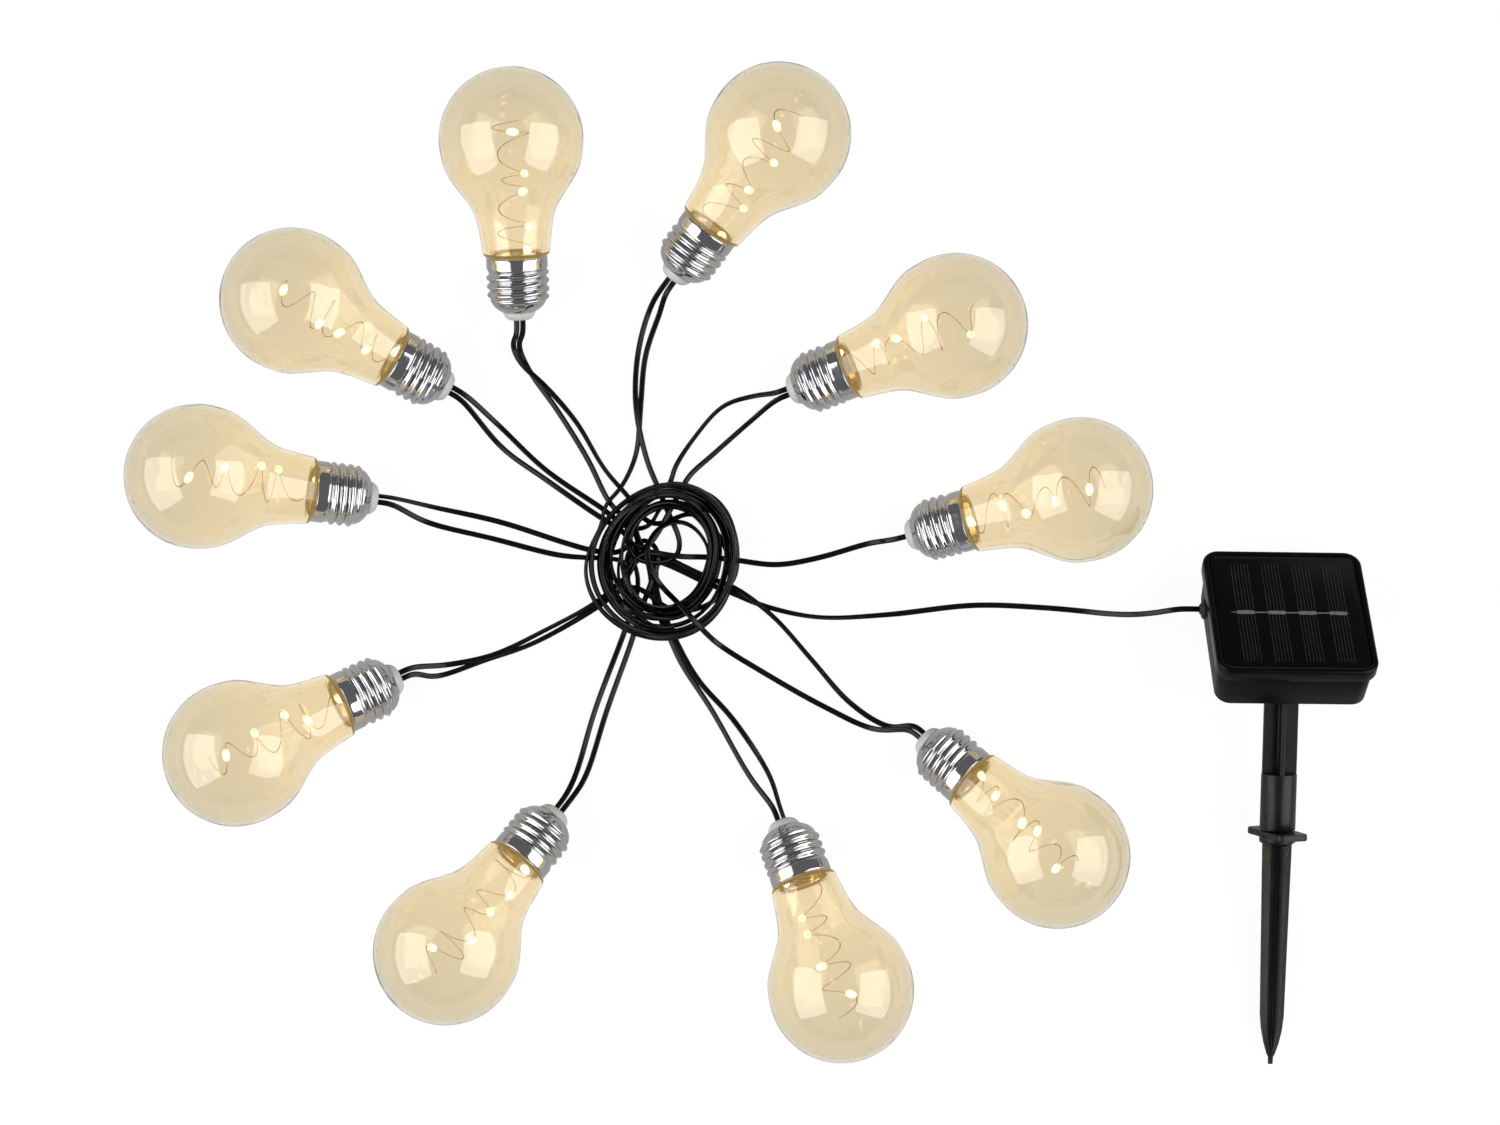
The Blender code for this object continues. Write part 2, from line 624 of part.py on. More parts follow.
add(
    "power_button",
    *turned([
        (0, -1.6), (BUTTON_R - 0.5, -1.6), (BUTTON_R, -1.1), (BUTTON_R, CASE_FLOOR + GAP), (BUTTON_FLANGE_R, CASE_FLOOR + GAP),
        (BUTTON_FLANGE_R, CASE_FLOOR + 1.1), (BUTTON_STEM_R, CASE_FLOOR + 1.1), (BUTTON_STEM_R, 4.3), (0, 4.3),
    ], 10),
    RUBBER, box, Matrix.Translation(point((bx, by, 0))),
)

wall_inside, wall_outside = -CAVITY_HALF + GAP, -(CASE_HALF_RIM + GAP)
add(
    "cable_gland",
    *turned([
        (0, GLAND_NOSE_X), (GLAND_NOSE_R, GLAND_NOSE_X), (GLAND_NOSE_R + 0.4, -33.8), (GLAND_R - 0.4, -33.5), (GLAND_R, -33.1),
        (GLAND_R, wall_outside), (GLAND_NECK_R, wall_outside), (GLAND_NECK_R, wall_inside), (3.5, wall_inside), (3.5, wall_inside + 1.4), (0, wall_inside + 1.4),
    ], 10),
    RUBBER, box, Matrix.Translation(point((0, *GLAND_AT))) @ turn_about("Y", 90),
)

pole = add("stake_pole", *loft([cross(POLE_R, RIB_HALF, -t) for t in (POLE_TOP, POLE_RIB_END + 2)]), SATIN, unit)
sleeve = helper("join_sleeve", peg(SLEEVE_R, -POLE_END, -POLE_RIB_END, 16), unit)
peg_bore = helper("cut_peg_bore", peg(PEG_BORE_R, -POLE_END - 2, -PEG_BORE_TOP, 12), unit)
combine(pole, sleeve, "UNION")
combine(pole, peg_bore, "DIFFERENCE")

turned_spike = turn_about("Z", SPIKE_TURN)
spike = add("ground_spike", *loft([cross(half, rib, -t) for t, half, rib in SPIKE_STATIONS]), SATIN, unit, turned_spike)
flange = helper(
    "join_flange", loft([rounded_oblong(FLANGE_HALF, FLANGE_HALF_WIDTH, FLANGE_CORNER, -t) for t in FLANGE_SPAN[::-1]]),
    unit, turn_about("Z", FLANGE_TURN),
)
pin = helper("join_pin", peg(PEG_R, -FLANGE_SPAN[0] - 1, -PEG_TOP, 12), unit, turned_spike)
combine(spike, flange, "UNION")
combine(spike, pin, "UNION")

# Lead: from the gland's nose down to the floor and on to the coil's lower end.
to_world = unit_matrix @ box_matrix
nose = to_world @ point((GLAND_NOSE_X, *GLAND_AT)) / MM
away = -(to_world.to_3x3() @ Vector((1, 0, 0)))
coil_start = Vector(coil[0])
arrive = (coil_start - Vector(coil[1])).normalized()
lead_route = [tuple(nose + away * GAP), tuple(nose + away * (GAP + 2 * CORD_R))]
lead_route += LEAD_ROUTE
lead_route += [tuple(coil_start + arrive * (GAP + 2 * CORD_R)), tuple(coil_start + arrive * GAP)]
lead = smooth_path(lead_route, steps_for(lead_route, [7.0] * len(lead_route)))
tube("lead_cord", lead, CORD_R, CORD, 2)
print(f"lead_cord: {len(lead)} points, lowest {lead[:, 2].min() - CORD_R:.2f} mm")

bpy.context.view_layer.update()
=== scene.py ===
import math

import bmesh
import bpy
import numpy as np
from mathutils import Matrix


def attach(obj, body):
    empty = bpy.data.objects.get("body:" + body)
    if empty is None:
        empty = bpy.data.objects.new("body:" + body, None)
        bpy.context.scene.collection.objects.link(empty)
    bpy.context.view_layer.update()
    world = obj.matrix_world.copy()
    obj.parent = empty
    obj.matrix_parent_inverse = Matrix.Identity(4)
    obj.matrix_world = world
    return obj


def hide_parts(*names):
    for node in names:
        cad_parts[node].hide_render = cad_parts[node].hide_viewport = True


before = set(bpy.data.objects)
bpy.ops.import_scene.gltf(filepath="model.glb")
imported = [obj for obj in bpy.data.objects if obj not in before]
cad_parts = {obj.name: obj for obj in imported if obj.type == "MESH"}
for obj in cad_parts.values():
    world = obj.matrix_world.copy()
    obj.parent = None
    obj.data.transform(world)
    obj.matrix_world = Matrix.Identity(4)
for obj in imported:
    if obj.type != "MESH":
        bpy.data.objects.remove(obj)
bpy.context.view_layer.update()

mm = 0.001
setBody = "lights_and_solar_box"
scene = bpy.context.scene
scene.view_settings.view_transform = "Standard"


# sRGB hex to linear: straight below 0.04045, a 2.4 power above it
def toLinear(hexColour):
    parts = np.array([int(hexColour[i : i + 2], 16) / 255 for i in (0, 2, 4)])
    linear = np.where(parts <= 0.04045, parts / 12.92, ((parts + 0.055) / 1.055) ** 2.4)
    return (*linear.tolist(), 1.0)


# adds one node with its settings, and a ramp's stops; an input given as a socket is linked, and the node's
# first output goes to what it feeds. A map range's inputs are a value, two ends to come from and two to go to
def addNode(tree, kind, inputs=None, stops=(), feeds=None, **settings):
    node = tree.nodes.new("ShaderNode" + kind)
    for name, value in settings.items():
        setattr(node, name, value)
    for k, (place, colour) in enumerate(stops):
        node.color_ramp.elements[k].position = place
        node.color_ramp.elements[k].color = toLinear(colour)
    for socket, value in (inputs or {}).items():
        if isinstance(value, bpy.types.NodeSocket):
            tree.links.new(value, node.inputs[socket])
        else:
            node.inputs[socket].default_value = value
    if feeds:
        tree.links.new(node.outputs[0], feeds)
    return node


def startMaterial(name, sockets):
    material = bpy.data.materials.new(name)
    material.use_nodes = True
    tree = material.node_tree
    shader = tree.nodes["Principled BSDF"]
    for socket, value in sockets.items():
        shader.inputs[socket].default_value = value
    return material, tree, shader, addNode(tree, "TexCoord").outputs


# a pattern this many mm wide has this scale on coordinates in metres
def scaleFor(sizeMm):
    return 1000.0 / sizeMm


# one pattern drives the colour, between its stops, and the roughness, between its limits
def colourAndGloss(tree, shader, pattern, stops, limits):
    addNode(tree, "ValToRGB", {"Fac": pattern}, stops, feeds=shader.inputs["Base Color"])
    addNode(tree, "MapRange", {0: pattern, **limits}, feeds=shader.inputs["Roughness"])


def addObject(name, data):
    held = bpy.data.objects.new(name, data)
    scene.collection.objects.link(held)
    return held


# the camera stands 1.70 m above the set, tilted a little, as the photograph was taken
cameraSet = {"distance": 1.70, "tilt": 2.2, "focalPixels": 4046, "imageWidth": 1500}
lens = bpy.data.cameras.new("camera")
lens.sensor_width = 36
lens.lens = cameraSet["focalPixels"] / cameraSet["imageWidth"] * lens.sensor_width
lens.clip_start, lens.clip_end = 0.05, 60
camera = addObject("camera", lens)
tilt = math.radians(cameraSet["tilt"])
camera.location = (0, -cameraSet["distance"] * math.sin(tilt), cameraSet["distance"] * math.cos(tilt))
camera.rotation_euler = (tilt, 0, 0)
scene.camera = camera
print("camera placed")


# amber tinted clear polystyrene, blow moulded: clear and glossy, with slow waves in the wall, a few specks,
# and a painted warm glow, an emission rising towards the spigot in place of the light that the lamps inside
# cast on the wall; v of the UV runs from the crown, 0, to the spigot, 1
def amberStyrene():
    material, tree, shader, where = startMaterial(
        "amber tinted clear polystyrene",
        {"Base Color": toLinear("EAE2CF"), "Roughness": 0.025, "IOR": 1.5, "Transmission Weight": 1.0,
         "Emission Color": toLinear("FFD57A")},
    )
    spot = where["Object"]
    waves = addNode(tree, "TexNoise", {"Vector": spot, "Scale": scaleFor(16), "Detail": 1.5})
    specks = addNode(tree, "TexVoronoi", {"Vector": spot, "Scale": scaleFor(5.5)})
    limits = {1: 0.0, 2: 0.11, 3: 0.5, 4: 0.0}
    dots = addNode(tree, "MapRange", {0: specks.outputs["Distance"], **limits})
    height = addNode(tree, "Math", {0: waves.outputs["Fac"], 1: dots.outputs[0]}, operation="ADD")
    relief = {"Height": height.outputs[0], "Strength": 0.2, "Distance": 0.0006}
    addNode(tree, "Bump", relief, feeds=shader.inputs["Normal"])
    along = addNode(tree, "SeparateXYZ", {0: where["UV"]})
    # painted glow: the wall itself emits, from nothing at the crown up to the spigot, standing in for
    # lamplight
    addNode(
        tree, "MapRange", {0: along.outputs["Y"], 1: 0.05, 2: 0.85, 3: 0.0, 4: 0.045},
        feeds=shader.inputs["Emission Strength"], interpolation_type="SMOOTHSTEP",
    )
    # lamp rays pass straight through the thin wall, dyed by it
    rays = addNode(tree, "LightPath").outputs
    passing = addNode(tree, "BsdfTransparent", {"Color": toLinear("F3EDE2")})
    kinds = {0: rays["Is Shadow Ray"], 1: shader.outputs[0], 2: passing.outputs[0]}
    addNode(tree, "MixShader", kinds, feeds=tree.nodes["Material Output"].inputs["Surface"])
    material.cycles.emission_sampling = "NONE"
    return material


# chromed ABS: bright plating over moulding, smooth with faint haze from handling
def chromedAbs():
    material, tree, shader, where = startMaterial(
        "chromed ABS", {"Base Color": toLinear("C2C3C6"), "Metallic": 1.0}
    )
    spot = where["Object"]
    haze = addNode(tree, "TexNoise", {"Vector": spot, "Scale": scaleFor(7), "Detail": 4.0})
    limits = {1: 0.35, 2: 0.7, 3: 0.05, 4: 0.14}
    addNode(tree, "MapRange", {0: haze.outputs["Fac"], **limits}, feeds=shader.inputs["Roughness"])
    peel = addNode(tree, "TexNoise", {"Vector": spot, "Scale": scaleFor(2.2), "Detail": 2.0})
    relief = {"Height": peel.outputs["Fac"], "Strength": 0.08, "Distance": 0.0002}
    addNode(tree, "Bump", relief, feeds=shader.inputs["Normal"])
    return material


# a moulded plastic or rubber: a colour that drifts a little, a fine spark-eroded grain and uneven gloss
def mouldedPlastic(name, dark, light, roughness, grainMm, grainHeight, driftMm=9.0, shine=0.5):
    material, tree, shader, where = startMaterial(name, {"IOR": 1.5, "Specular IOR Level": shine})
    spot = where["Object"]
    drift = addNode(tree, "TexNoise", {"Vector": spot, "Scale": scaleFor(driftMm), "Detail": 5.0})
    limits = {1: 0.3, 2: 0.75, 3: roughness * 0.82, 4: roughness * 1.25}
    colourAndGloss(tree, shader, drift.outputs["Fac"], [(0.32, dark), (0.72, light)], limits)
    grain = addNode(tree, "TexNoise", {"Vector": spot, "Scale": scaleFor(grainMm), "Detail": 3.0})
    relief = {"Height": grain.outputs["Fac"], "Strength": 0.35, "Distance": grainHeight * mm}
    addNode(tree, "Bump", relief, feeds=shader.inputs["Normal"])
    return material


# black PVC cord: extruded, so its gloss runs in streaks along it; u of the UV is mm along the cord
def blackPvcCord():
    material, tree, shader, where = startMaterial("black PVC cord", {"IOR": 1.53, "Specular IOR Level": 0.22})
    along = addNode(tree, "Mapping", {"Vector": where["UV"], "Scale": (0.02, 6.0, 1.0)})
    streaks = addNode(tree, "TexNoise", {"Vector": along.outputs[0], "Scale": 5.0, "Detail": 3.0})
    limits = {1: 0.3, 2: 0.75, 3: 0.15, 4: 0.28}
    colourAndGloss(tree, shader, streaks.outputs["Fac"], [(0.3, "050505"), (0.75, "0D0D0E")], limits)
    relief = {"Height": streaks.outputs["Fac"], "Strength": 0.15, "Distance": 0.0001}
    addNode(tree, "Bump", relief, feeds=shader.inputs["Normal"])
    return material


# a drawn, rolled or printed metal with fine marks
def plainMetal(name, dark, light, roughness, markMm):
    material, tree, shader, where = startMaterial(name, {"Metallic": 1.0})
    marks = addNode(tree, "TexNoise", {"Vector": where["Object"], "Scale": scaleFor(markMm), "Detail": 4.0})
    limits = {1: 0.3, 2: 0.7, 3: roughness * 0.8, 4: roughness * 1.3}
    colourAndGloss(tree, shader, marks.outputs["Fac"], [(0.3, dark), (0.7, light)], limits)
    return material


# warm white lamp under a drop of clear epoxy, lit: brightest at the chip in its middle, v = 0.5 of the UV
def litEpoxy():
    material, tree, shader, where = startMaterial(
        "lit LED epoxy",
        {"Base Color": toLinear("FFE7B4"), "Roughness": 0.2, "IOR": 1.5,
         "Emission Color": toLinear("FFDF9E")},
    )
    along = addNode(tree, "SeparateXYZ", {0: where["UV"]})
    off = addNode(tree, "Math", {0: along.outputs["Y"], 1: 0.5}, operation="SUBTRACT")
    off = addNode(tree, "Math", {0: off.outputs[0]}, operation="ABSOLUTE")
    addNode(
        tree, "MapRange", {0: off.outputs[0], 1: 0.05, 2: 0.5, 3: 3.6, 4: 0.4},
        feeds=shader.inputs["Emission Strength"], interpolation_type="SMOOTHSTEP",
    )
    material.cycles.emission_sampling = "NONE"
    return material


amber = amberStyrene()
chrome = chromedAbs()
cordBlack = blackPvcCord()
ledLit = litEpoxy()
whitePlastic = mouldedPlastic("white polypropylene", "CFCFCC", "E0E0DD", 0.42, 0.9, 0.05)
glossBlack = mouldedPlastic("gloss black ABS", "060607", "0B0B0C", 0.2, 3.0, 0.02, 22.0, 0.14)
satinBlack = mouldedPlastic("satin black ABS", "0B0B0C", "141415", 0.38, 0.8, 0.06, 14.0, 0.12)
stakeBlack = mouldedPlastic("satin black polypropylene", "0B0B0C", "141415", 0.34, 1.2, 0.07, 12.0, 0.32)
blackRubber = mouldedPlastic("black rubber", "0D0D0D", "191919", 0.6, 0.7, 0.06)
solarResin = mouldedPlastic("solar cells under clear resin", "040405", "080809", 0.14, 5.0, 0.02, 16.0, 0.18)
fingerInk = plainMetal("printed silver fingers", "4A4A4C", "626264", 0.5, 3.0)
busInk = plainMetal("tinned bus ribbon", "9E9EA0", "B6B6B8", 0.42, 2.0)
copper = plainMetal("enamelled copper wire", "96692E", "C89A50", 0.34, 2.5)
zincSteel = plainMetal("zinc plated steel", "8E8E8C", "B4B4B1", 0.3, 1.5)
batterySleeve = mouldedPlastic("battery sleeve", "2F5A3B", "456F50", 0.32, 1.5, 0.03)
boardGreen = mouldedPlastic("circuit board lacquer", "17492B", "246038", 0.35, 0.8, 0.05)
print("materials made")


# puts points (..., 3) in mm and faces into a mesh at the origin; closed shapes are turned to face outwards by
# the sign of their volume, the sum of a . (b x c) over their triangles
def makePiece(name, points, faces, material, uv=None, smoothAngle=38.0, merge=True):
    mesh = bpy.data.meshes.new(name)
    points = np.reshape(points, (-1, 3)) * mm
    mesh.from_pydata(points.tolist(), [], [list(map(int, f)) for f in faces])
    if uv is not None:
        layer = mesh.uv_layers.new(name="UVMap")
        corner = np.empty(len(mesh.loops), np.int32)
        mesh.loops.foreach_get("vertex_index", corner)
        layer.data.foreach_set("uv", np.reshape(uv, (-1, 2)).astype(np.float32)[corner].ravel())
    work = bmesh.new()
    work.from_mesh(mesh)
    if merge:
        bmesh.ops.remove_doubles(work, verts=work.verts, dist=2e-6)
    if work.calc_volume(signed=True) < 0:
        bmesh.ops.reverse_faces(work, faces=work.faces)
    work.to_mesh(mesh)
    work.free()
    mesh.shade_smooth()
    mesh.set_sharp_from_angle(angle=math.radians(smoothAngle))
    mesh.materials.append(material)
    return addObject(name, mesh)


# hands a piece over: its material slot, which is not used, the nodes it stands for, if any, and the body it
# rides on
def handOver(piece, slot, *nodes, body=setBody):
    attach(piece, body)
    if nodes:
        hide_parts(*nodes)


# quads between neighbouring points of a grid of rows by columns, the columns closed into rings
def gridFaces(rows, columns, closeRows=False, capped=False):
    i = np.arange(rows if closeRows else rows - 1)[:, None]
    j = np.arange(columns)[None, :]
    nextRow, nextColumn = (i + 1) % rows, (j + 1) % columns
    here, there = i * columns, nextRow * columns
    corners = (here + j, here + nextColumn, there + nextColumn, there + j)
    faces = np.stack(np.broadcast_arrays(*corners), axis=-1).reshape(-1, 4).tolist()
    if capped:
        faces.append(list(range(columns))[::-1])
        faces.append([(rows - 1) * columns + k for k in range(columns)])
    return faces


# a frame is an origin and three axes in mm; this carries local points (..., 3) into the scene
def carry(points, origin, axes):
    return np.asarray(origin) + np.asarray(points) @ np.asarray(axes)


# turned surface: point = axis * station + radius * (cos a * side + sin a * up), rows down the profile; v of
# the UV is the station's share of the whole
def turnedPiece(name, profile, origin, axes, material, sides=64):
    station, radius = np.asarray(profile, float).T
    angle = np.arange(sides) * 2 * np.pi / sides
    ring = np.stack([np.cos(angle), np.sin(angle)], axis=-1)
    along = np.broadcast_to(station[:, None, None], (len(station), sides, 1))
    grid = np.concatenate([radius[:, None, None] * ring[None], along], axis=-1)
    v = (station - station.min()) / np.ptp(station)
    uv = np.stack(np.broadcast_arrays(np.arange(sides)[None] / sides, v[:, None]), axis=-1)
    return makePiece(name, carry(grid, origin, axes), gridFaces(len(station), sides), material, uv=uv)


def unitLong(arrows):
    return arrows / np.linalg.norm(arrows, axis=-1, keepdims=True)


# the length run at each point of a line
def runAlong(line):
    return np.concatenate([[0], np.cumsum(np.linalg.norm(np.diff(line, axis=0), axis=1))])


def evenLine(line, step):
    run = runAlong(line)
    at = np.linspace(0, run[-1], max(int(round(run[-1] / step)), 2) + 1)
    return np.column_stack([np.interp(at, run, column) for column in line.T])


def between(t, start, stop, first, last):
    return (stop - t) / (stop - start) * first + (t - start) / (stop - start) * last


# smooth line through points: a cubic through each four neighbours, spaced by the root of their chords, then
# resampled at an even step
def smoothLine(points, step, finePoints=24):
    p = np.asarray(points, float)
    p = p[np.concatenate([[True], np.linalg.norm(np.diff(p, axis=0), axis=1) > 1e-6])]
    ends = np.vstack([2 * p[0] - p[1], p, 2 * p[-1] - p[-2]])
    knot = np.concatenate([[0], np.cumsum(np.linalg.norm(np.diff(ends, axis=0), axis=1) ** 0.5)])
    fine = []
    u = np.linspace(0, 1, finePoints, endpoint=False)[:, None]
    for k in range(1, len(ends) - 2):
        t0, t1, t2, t3 = knot[k - 1 : k + 3]
        p0, p1, p2, p3 = ends[k - 1 : k + 3]
        t = t1 + (t2 - t1) * u
        a1, a2, a3 = between(t, t0, t1, p0, p1), between(t, t1, t2, p1, p2), between(t, t2, t3, p2, p3)
        b1, b2 = between(t, t0, t2, a1, a2), between(t, t1, t3, a2, a3)
        fine.append(between(t, t1, t2, b1, b2))
    return evenLine(np.vstack(fine + [p[-1:]]), step)


# weighted mean along a line, the weights a bell this many points wide
def soften(values, width):
    reach = int(3 * width) + 1
    bell = np.exp(-0.5 * (np.arange(-reach, reach + 1) / width) ** 2)
    padded = np.pad(values, reach, mode="reflect", reflect_type="odd")
    return np.convolve(padded, bell / bell.sum(), mode="valid")


def phases(seed, count):
    return np.random.default_rng(seed).uniform(0, 2 * np.pi, count)


# turn by this many degrees about one axis
def turnAbout(axis, degrees):
    a = math.radians(degrees)
    i, j = [(1, 2), (2, 0), (0, 1)][axis]
    turn = np.eye(3)
    turn[i, i] = turn[j, j] = math.cos(a)
    turn[j, i], turn[i, j] = math.sin(a), -math.sin(a)
    return turn


# bulbs: globe centre x, y and the compass heading of the cap, in the order the cord visits them; a bulb lies
# on its globe and leans down to the rim of its cap
bulbSet = {
    "places": [
        (126.5, -122.0, 138.0), (37.5, -177.0, 109.5), (-125.0, -161.5, 52.0), (-212.0, -80.0, 26.0),
        (-228.5, 34.5, -6.5), (-189.5, 107.5, -29.0), (-99.0, 174.5, -88.0), (12.0, 176.5, -127.5),
        (85.0, 97.0, -159.5), (136.5, 29.0, -165.5),
    ],
    "height": 30.0, "lean": 15.6, "plugEnd": 75.7, "mouth": (-2.0, 1.5, 6.0), "cordAside": 1.3,
}


def bulbFrame(x, y, heading):
    h, lean = math.radians(heading), math.radians(bulbSet["lean"])
    axis = np.array([math.cos(h) * math.cos(lean), math.sin(h) * math.cos(lean), -math.sin(lean)])
    side = np.array([-math.sin(h), math.cos(h), 0.0])
    return np.array([x, y, bulbSet["height"]]), np.array([side, np.cross(axis, side), axis])


bulbFrames = [bulbFrame(*place) for place in bulbSet["places"]]

# solar unit: its origin is where the stake's axis meets the box's middle line; z runs up the stake, and the
# box's own z runs from its back to its panel
unitSet = {
    "at": (220.5, -33.6, 25.4), "heading": -0.6, "roll": 3.5, "pitch": 7.5, "boxTilt": 42.3, "boxSink": 4.0,
}
unitOrigin = np.array(unitSet["at"])
unitTurn = turnAbout(2, unitSet["heading"]) @ turnAbout(1, unitSet["roll"])
unitTurn = unitTurn @ turnAbout(0, unitSet["pitch"] - 90)
unitAxes = unitTurn.T
boxAxes = (unitTurn @ turnAbout(0, unitSet["boxTilt"])).T
boxOrigin = carry((0, 0, -unitSet["boxSink"]), unitOrigin, boxAxes)
unit, box = (unitOrigin, unitAxes), (boxOrigin, boxAxes)
glandSet = {"at": (11.5, 10.5), "nose": -34.6, "mouth": (1.5, -3, -8)}

# cord: flat twin lead, mm; the arc is the part of each core's outline that shows
cordSet = {
    "width": 2.4, "thick": 1.24, "arc": (-112, 112, 8), "step": 1.5, "soften": 1.8,
    "coilCentre": np.array([-37.3, 0.4]), "linkLength": 390.0,
}

# links are alike: the place of each in the ring is sought between two shares, by halving, so that its length
# comes out. The lead makes most of the coil
linkSet = {
    "held": (0.3, 0.7), "leastTurn": 120, "waver": 0.05, "seed": 40, "shares": (0.05, 1.0), "halvings": 8,
}
leadSet = {
    "turns": 11,
    "outwards": {"places": [(0, 0.03), (1, 0.97)], "waver": 0.07, "seed": 5},
    "inwards": {"places": [(0, 0.99), (1, 0.03)], "waver": 0.07, "seed": 6},
}

# order of laying: a later one lies on top of an earlier one, and the first link lies on top of the whole coil
orderSet = {
    "floor": 0, "under": 1, "links": 2, "eachLink": 0.1, "outwards": 5, "inwards": 6, "top": 30, "over": 40,
}

# coil, mm: mean radius of its inside and outside, each with slow waves round it (size, times round, shift);
# its points are some degrees apart, and a turn wavers between inside and outside (size, rate)
ringSet = {
    "inner": (18.9, [(3.0, 1, -0.51), (2.1, 2, -2.72)]),
    "outer": (31.9, [(1.1, 1, -0.31), (1.4, 2, -2.16), (0.8, 3, 3.14)]),
    "degrees": 12,
    "wavers": [(1.0, 0.73), (0.6, 1.9), (0.35, 3.1)],
    "ease": 8,
    "shares": (-0.03, 1.07),
}


# a way between a plug and the coil, from the plug inwards. joins is the bearing where it meets the turns, and
# share how far out in the ring that is; floor is x, y on the floor, with z where it hangs; through is x, y
# from the coil's centre, under the ring and in its opening
def way(joins, floor, through, share=0.02):
    through = [cordSet["coilCentre"] + np.array(p) for p in through]
    return {"joins": joins, "floor": floor, "through": through, "share": share}


# each bulb's two ways: the cord from the last bulb, then the one to the next
bulbWays = [
    [way(205, [(58, -69), (42, -59), (26, -41), (10, -23), (-6, -11)],
         [(19, -6.5), (10.4, -2.5), (2.8, 1.2), (-5.3, 2.8), (-11.5, -0.5)]),
     way(12, [(52, -70), (32, -61), (7, -47), (-15, -33)],
         [(14, -25), (6.4, -16.8), (-0.5, -9.7), (-4.8, -2), (-6.1, 3.6), (-4.3, 9.2), (-0.3, 14.3),
          (6.4, 16.8), (12.5, 15.3), (17.1, 10.7)])],
    [way(183, [(8, -89), (-7, -66), (-22, -49), (-32, -31)],
         [(1, -21.5), (-1.5, -14.5), (-2.3, -7.5), (-2.2, -0.5), (-5, 5), (-10.3, 6)]),
     way(126, [(0, -90), (-16, -62), (-29, -42), (-34, -31)],
         [(-1.5, -21.5), (-3.5, -14.5), (-4.3, -7.5), (-5.5, -0.5), (-8, 6.5)])],
    [way(170, [(-69, -90), (-60, -62), (-49, -31)],
         [(-9, -21.5), (-6, -14), (-3.5, -7), (-1, 0), (-2.5, 6.8), (-8.5, 9.3)]),
     way(156, [(-73, -89), (-65, -62), (-53, -30)],
         [(-12.5, -21), (-10, -13.5), (-9.7, -6.5), (-11.5, 0)])],
    [way(276, [(-132, -48), (-111, -41), (-91, -34), (-63, -18)],
         [(-17, -11.8), (-11, -10.6), (-5, -14)]),
     way(146, [(-127, -43), (-108, -39), (-87, -29), (-65, -17)],
         [(-18, -9.5), (-12.3, -4.2), (-11.8, 3.4)])],
    [way(210, [(-136, 17), (-108, 10), (-80, 3), (-68, 2)], [(-19, 1), (-13.2, -1.6)]),
     way(134, [(-132, 23), (-105, 17), (-77, 8), (-66, 5)], [(-19, 3.6), (-13, 6.6)])],
    [way(200, [(-104, 48), (-86, 35), (-62.8, 18.9)], [(-17, 13.4), (-12.4, 7.6), (-12.6, 0.4)]),
     way(92, [(-106, 58), (-86, 39), (-60.3, 21.4)], [(-15.5, 15), (-9.5, 13.4), (-3.5, 16)])],
    [way(206, [(-97.3, 91), (-93, 81), (-81, 64), (-68, 43), (-58.9, 24.9)],
         [(-14, 16.8), (-9.8, 9.4), (-10, 2)]),
     way(60, [(-99.8, 91), (-96.5, 84), (-86, 74), (-73, 59), (-61, 39), (-49.8, 25.9)],
         [(-8.5, 19), (-3, 15.4), (3.5, 17)])],
    [way(150, [(-38, 105), (-44, 87), (-46, 66), (-48, 45)], [(-17.2, 30.5), (-23.5, 23.5)], share=0.96),
     way(150, [(-42, 107), (-47, 89), (-48, 66), (-43, 42)],
         [(-1.7, 32), (1.5, 24), (4.5, 17), (7.6, 10), (7.5, 3.5), (3, -0.5), (-4, -0.8), (-10, 0.3),
          (-13.2, 3.8)])],
    [way(112, [(2, 70), (-11, 66), (-23, 53), (-32, 39)], [(3.5, 31.5), (-1.5, 28.5)], share=0.75),
     way(142, [(1, 60), (-16, 45), (-26, 36)],
         [(8.9, 31), (5, 24), (1.5, 17), (-2.5, 10), (-7, 5), (-12, 6)])],
    [way(198, [(50, 8), (29, 2), (11, -1), (-6, 1)],
         [(18.5, 1.9), (9, 1.9), (1.5, 2.8), (-5.5, 4), (-11.5, 1.5)])],
]
leadWay = way(
    155,
    [(168.5, -21.6, 19.5), (159, -22.2, 10.5), (149, -21.6, 3.6), (139, -20.4, 0.7), (123, -19, 0.7),
     (94, -18, 0.7), (57, -22, 0.7), (28, -23, 0.7), (5, -18, 0.7), (-7, -13, 0.7)],
    [(18.5, -8.8), (9.5, -4.4), (1.5, -0.8), (-6, 1.3), (-12, 3.5)],
)


def ringRadius(side, b):
    radius, waves = ringSet[side]
    for size, times, shift in waves:
        radius = radius + size * np.cos(times * b + shift)
    return radius


# a point of the coil: share 0 is its inside and 1 its outside
def ringPoint(share, bearing):
    b = np.radians(bearing)
    inner, outer = ringRadius("inner", b), ringRadius("outer", b)
    r = inner + (outer - inner) * np.asarray(share)
    return cordSet["coilCentre"] + np.stack([r * np.cos(b), r * np.sin(b)], axis=-1)


# part of the coil: the bearing falls evenly while the share goes through its own places, wavering slowly
def ringRun(start, stop, places, waver, seed):
    phase = phases(seed, len(ringSet["wavers"]))
    u = np.linspace(0, 1, max(int(abs(stop - start) / ringSet["degrees"]), 2) + 1)
    turns = 2 * np.pi * u * abs(stop - start) / 360
    wave = sum(size * np.sin(rate * turns + shift) for (size, rate), shift in zip(ringSet["wavers"], phase))
    ease = np.clip(np.minimum(u, 1 - u) * ringSet["ease"], 0, 1)
    share = np.interp(u, *np.array(places, float).T)
    share = np.clip(share + waver * wave * ease, *ringSet["shares"])
    return list(ringPoint(share, start + (stop - start) * u))


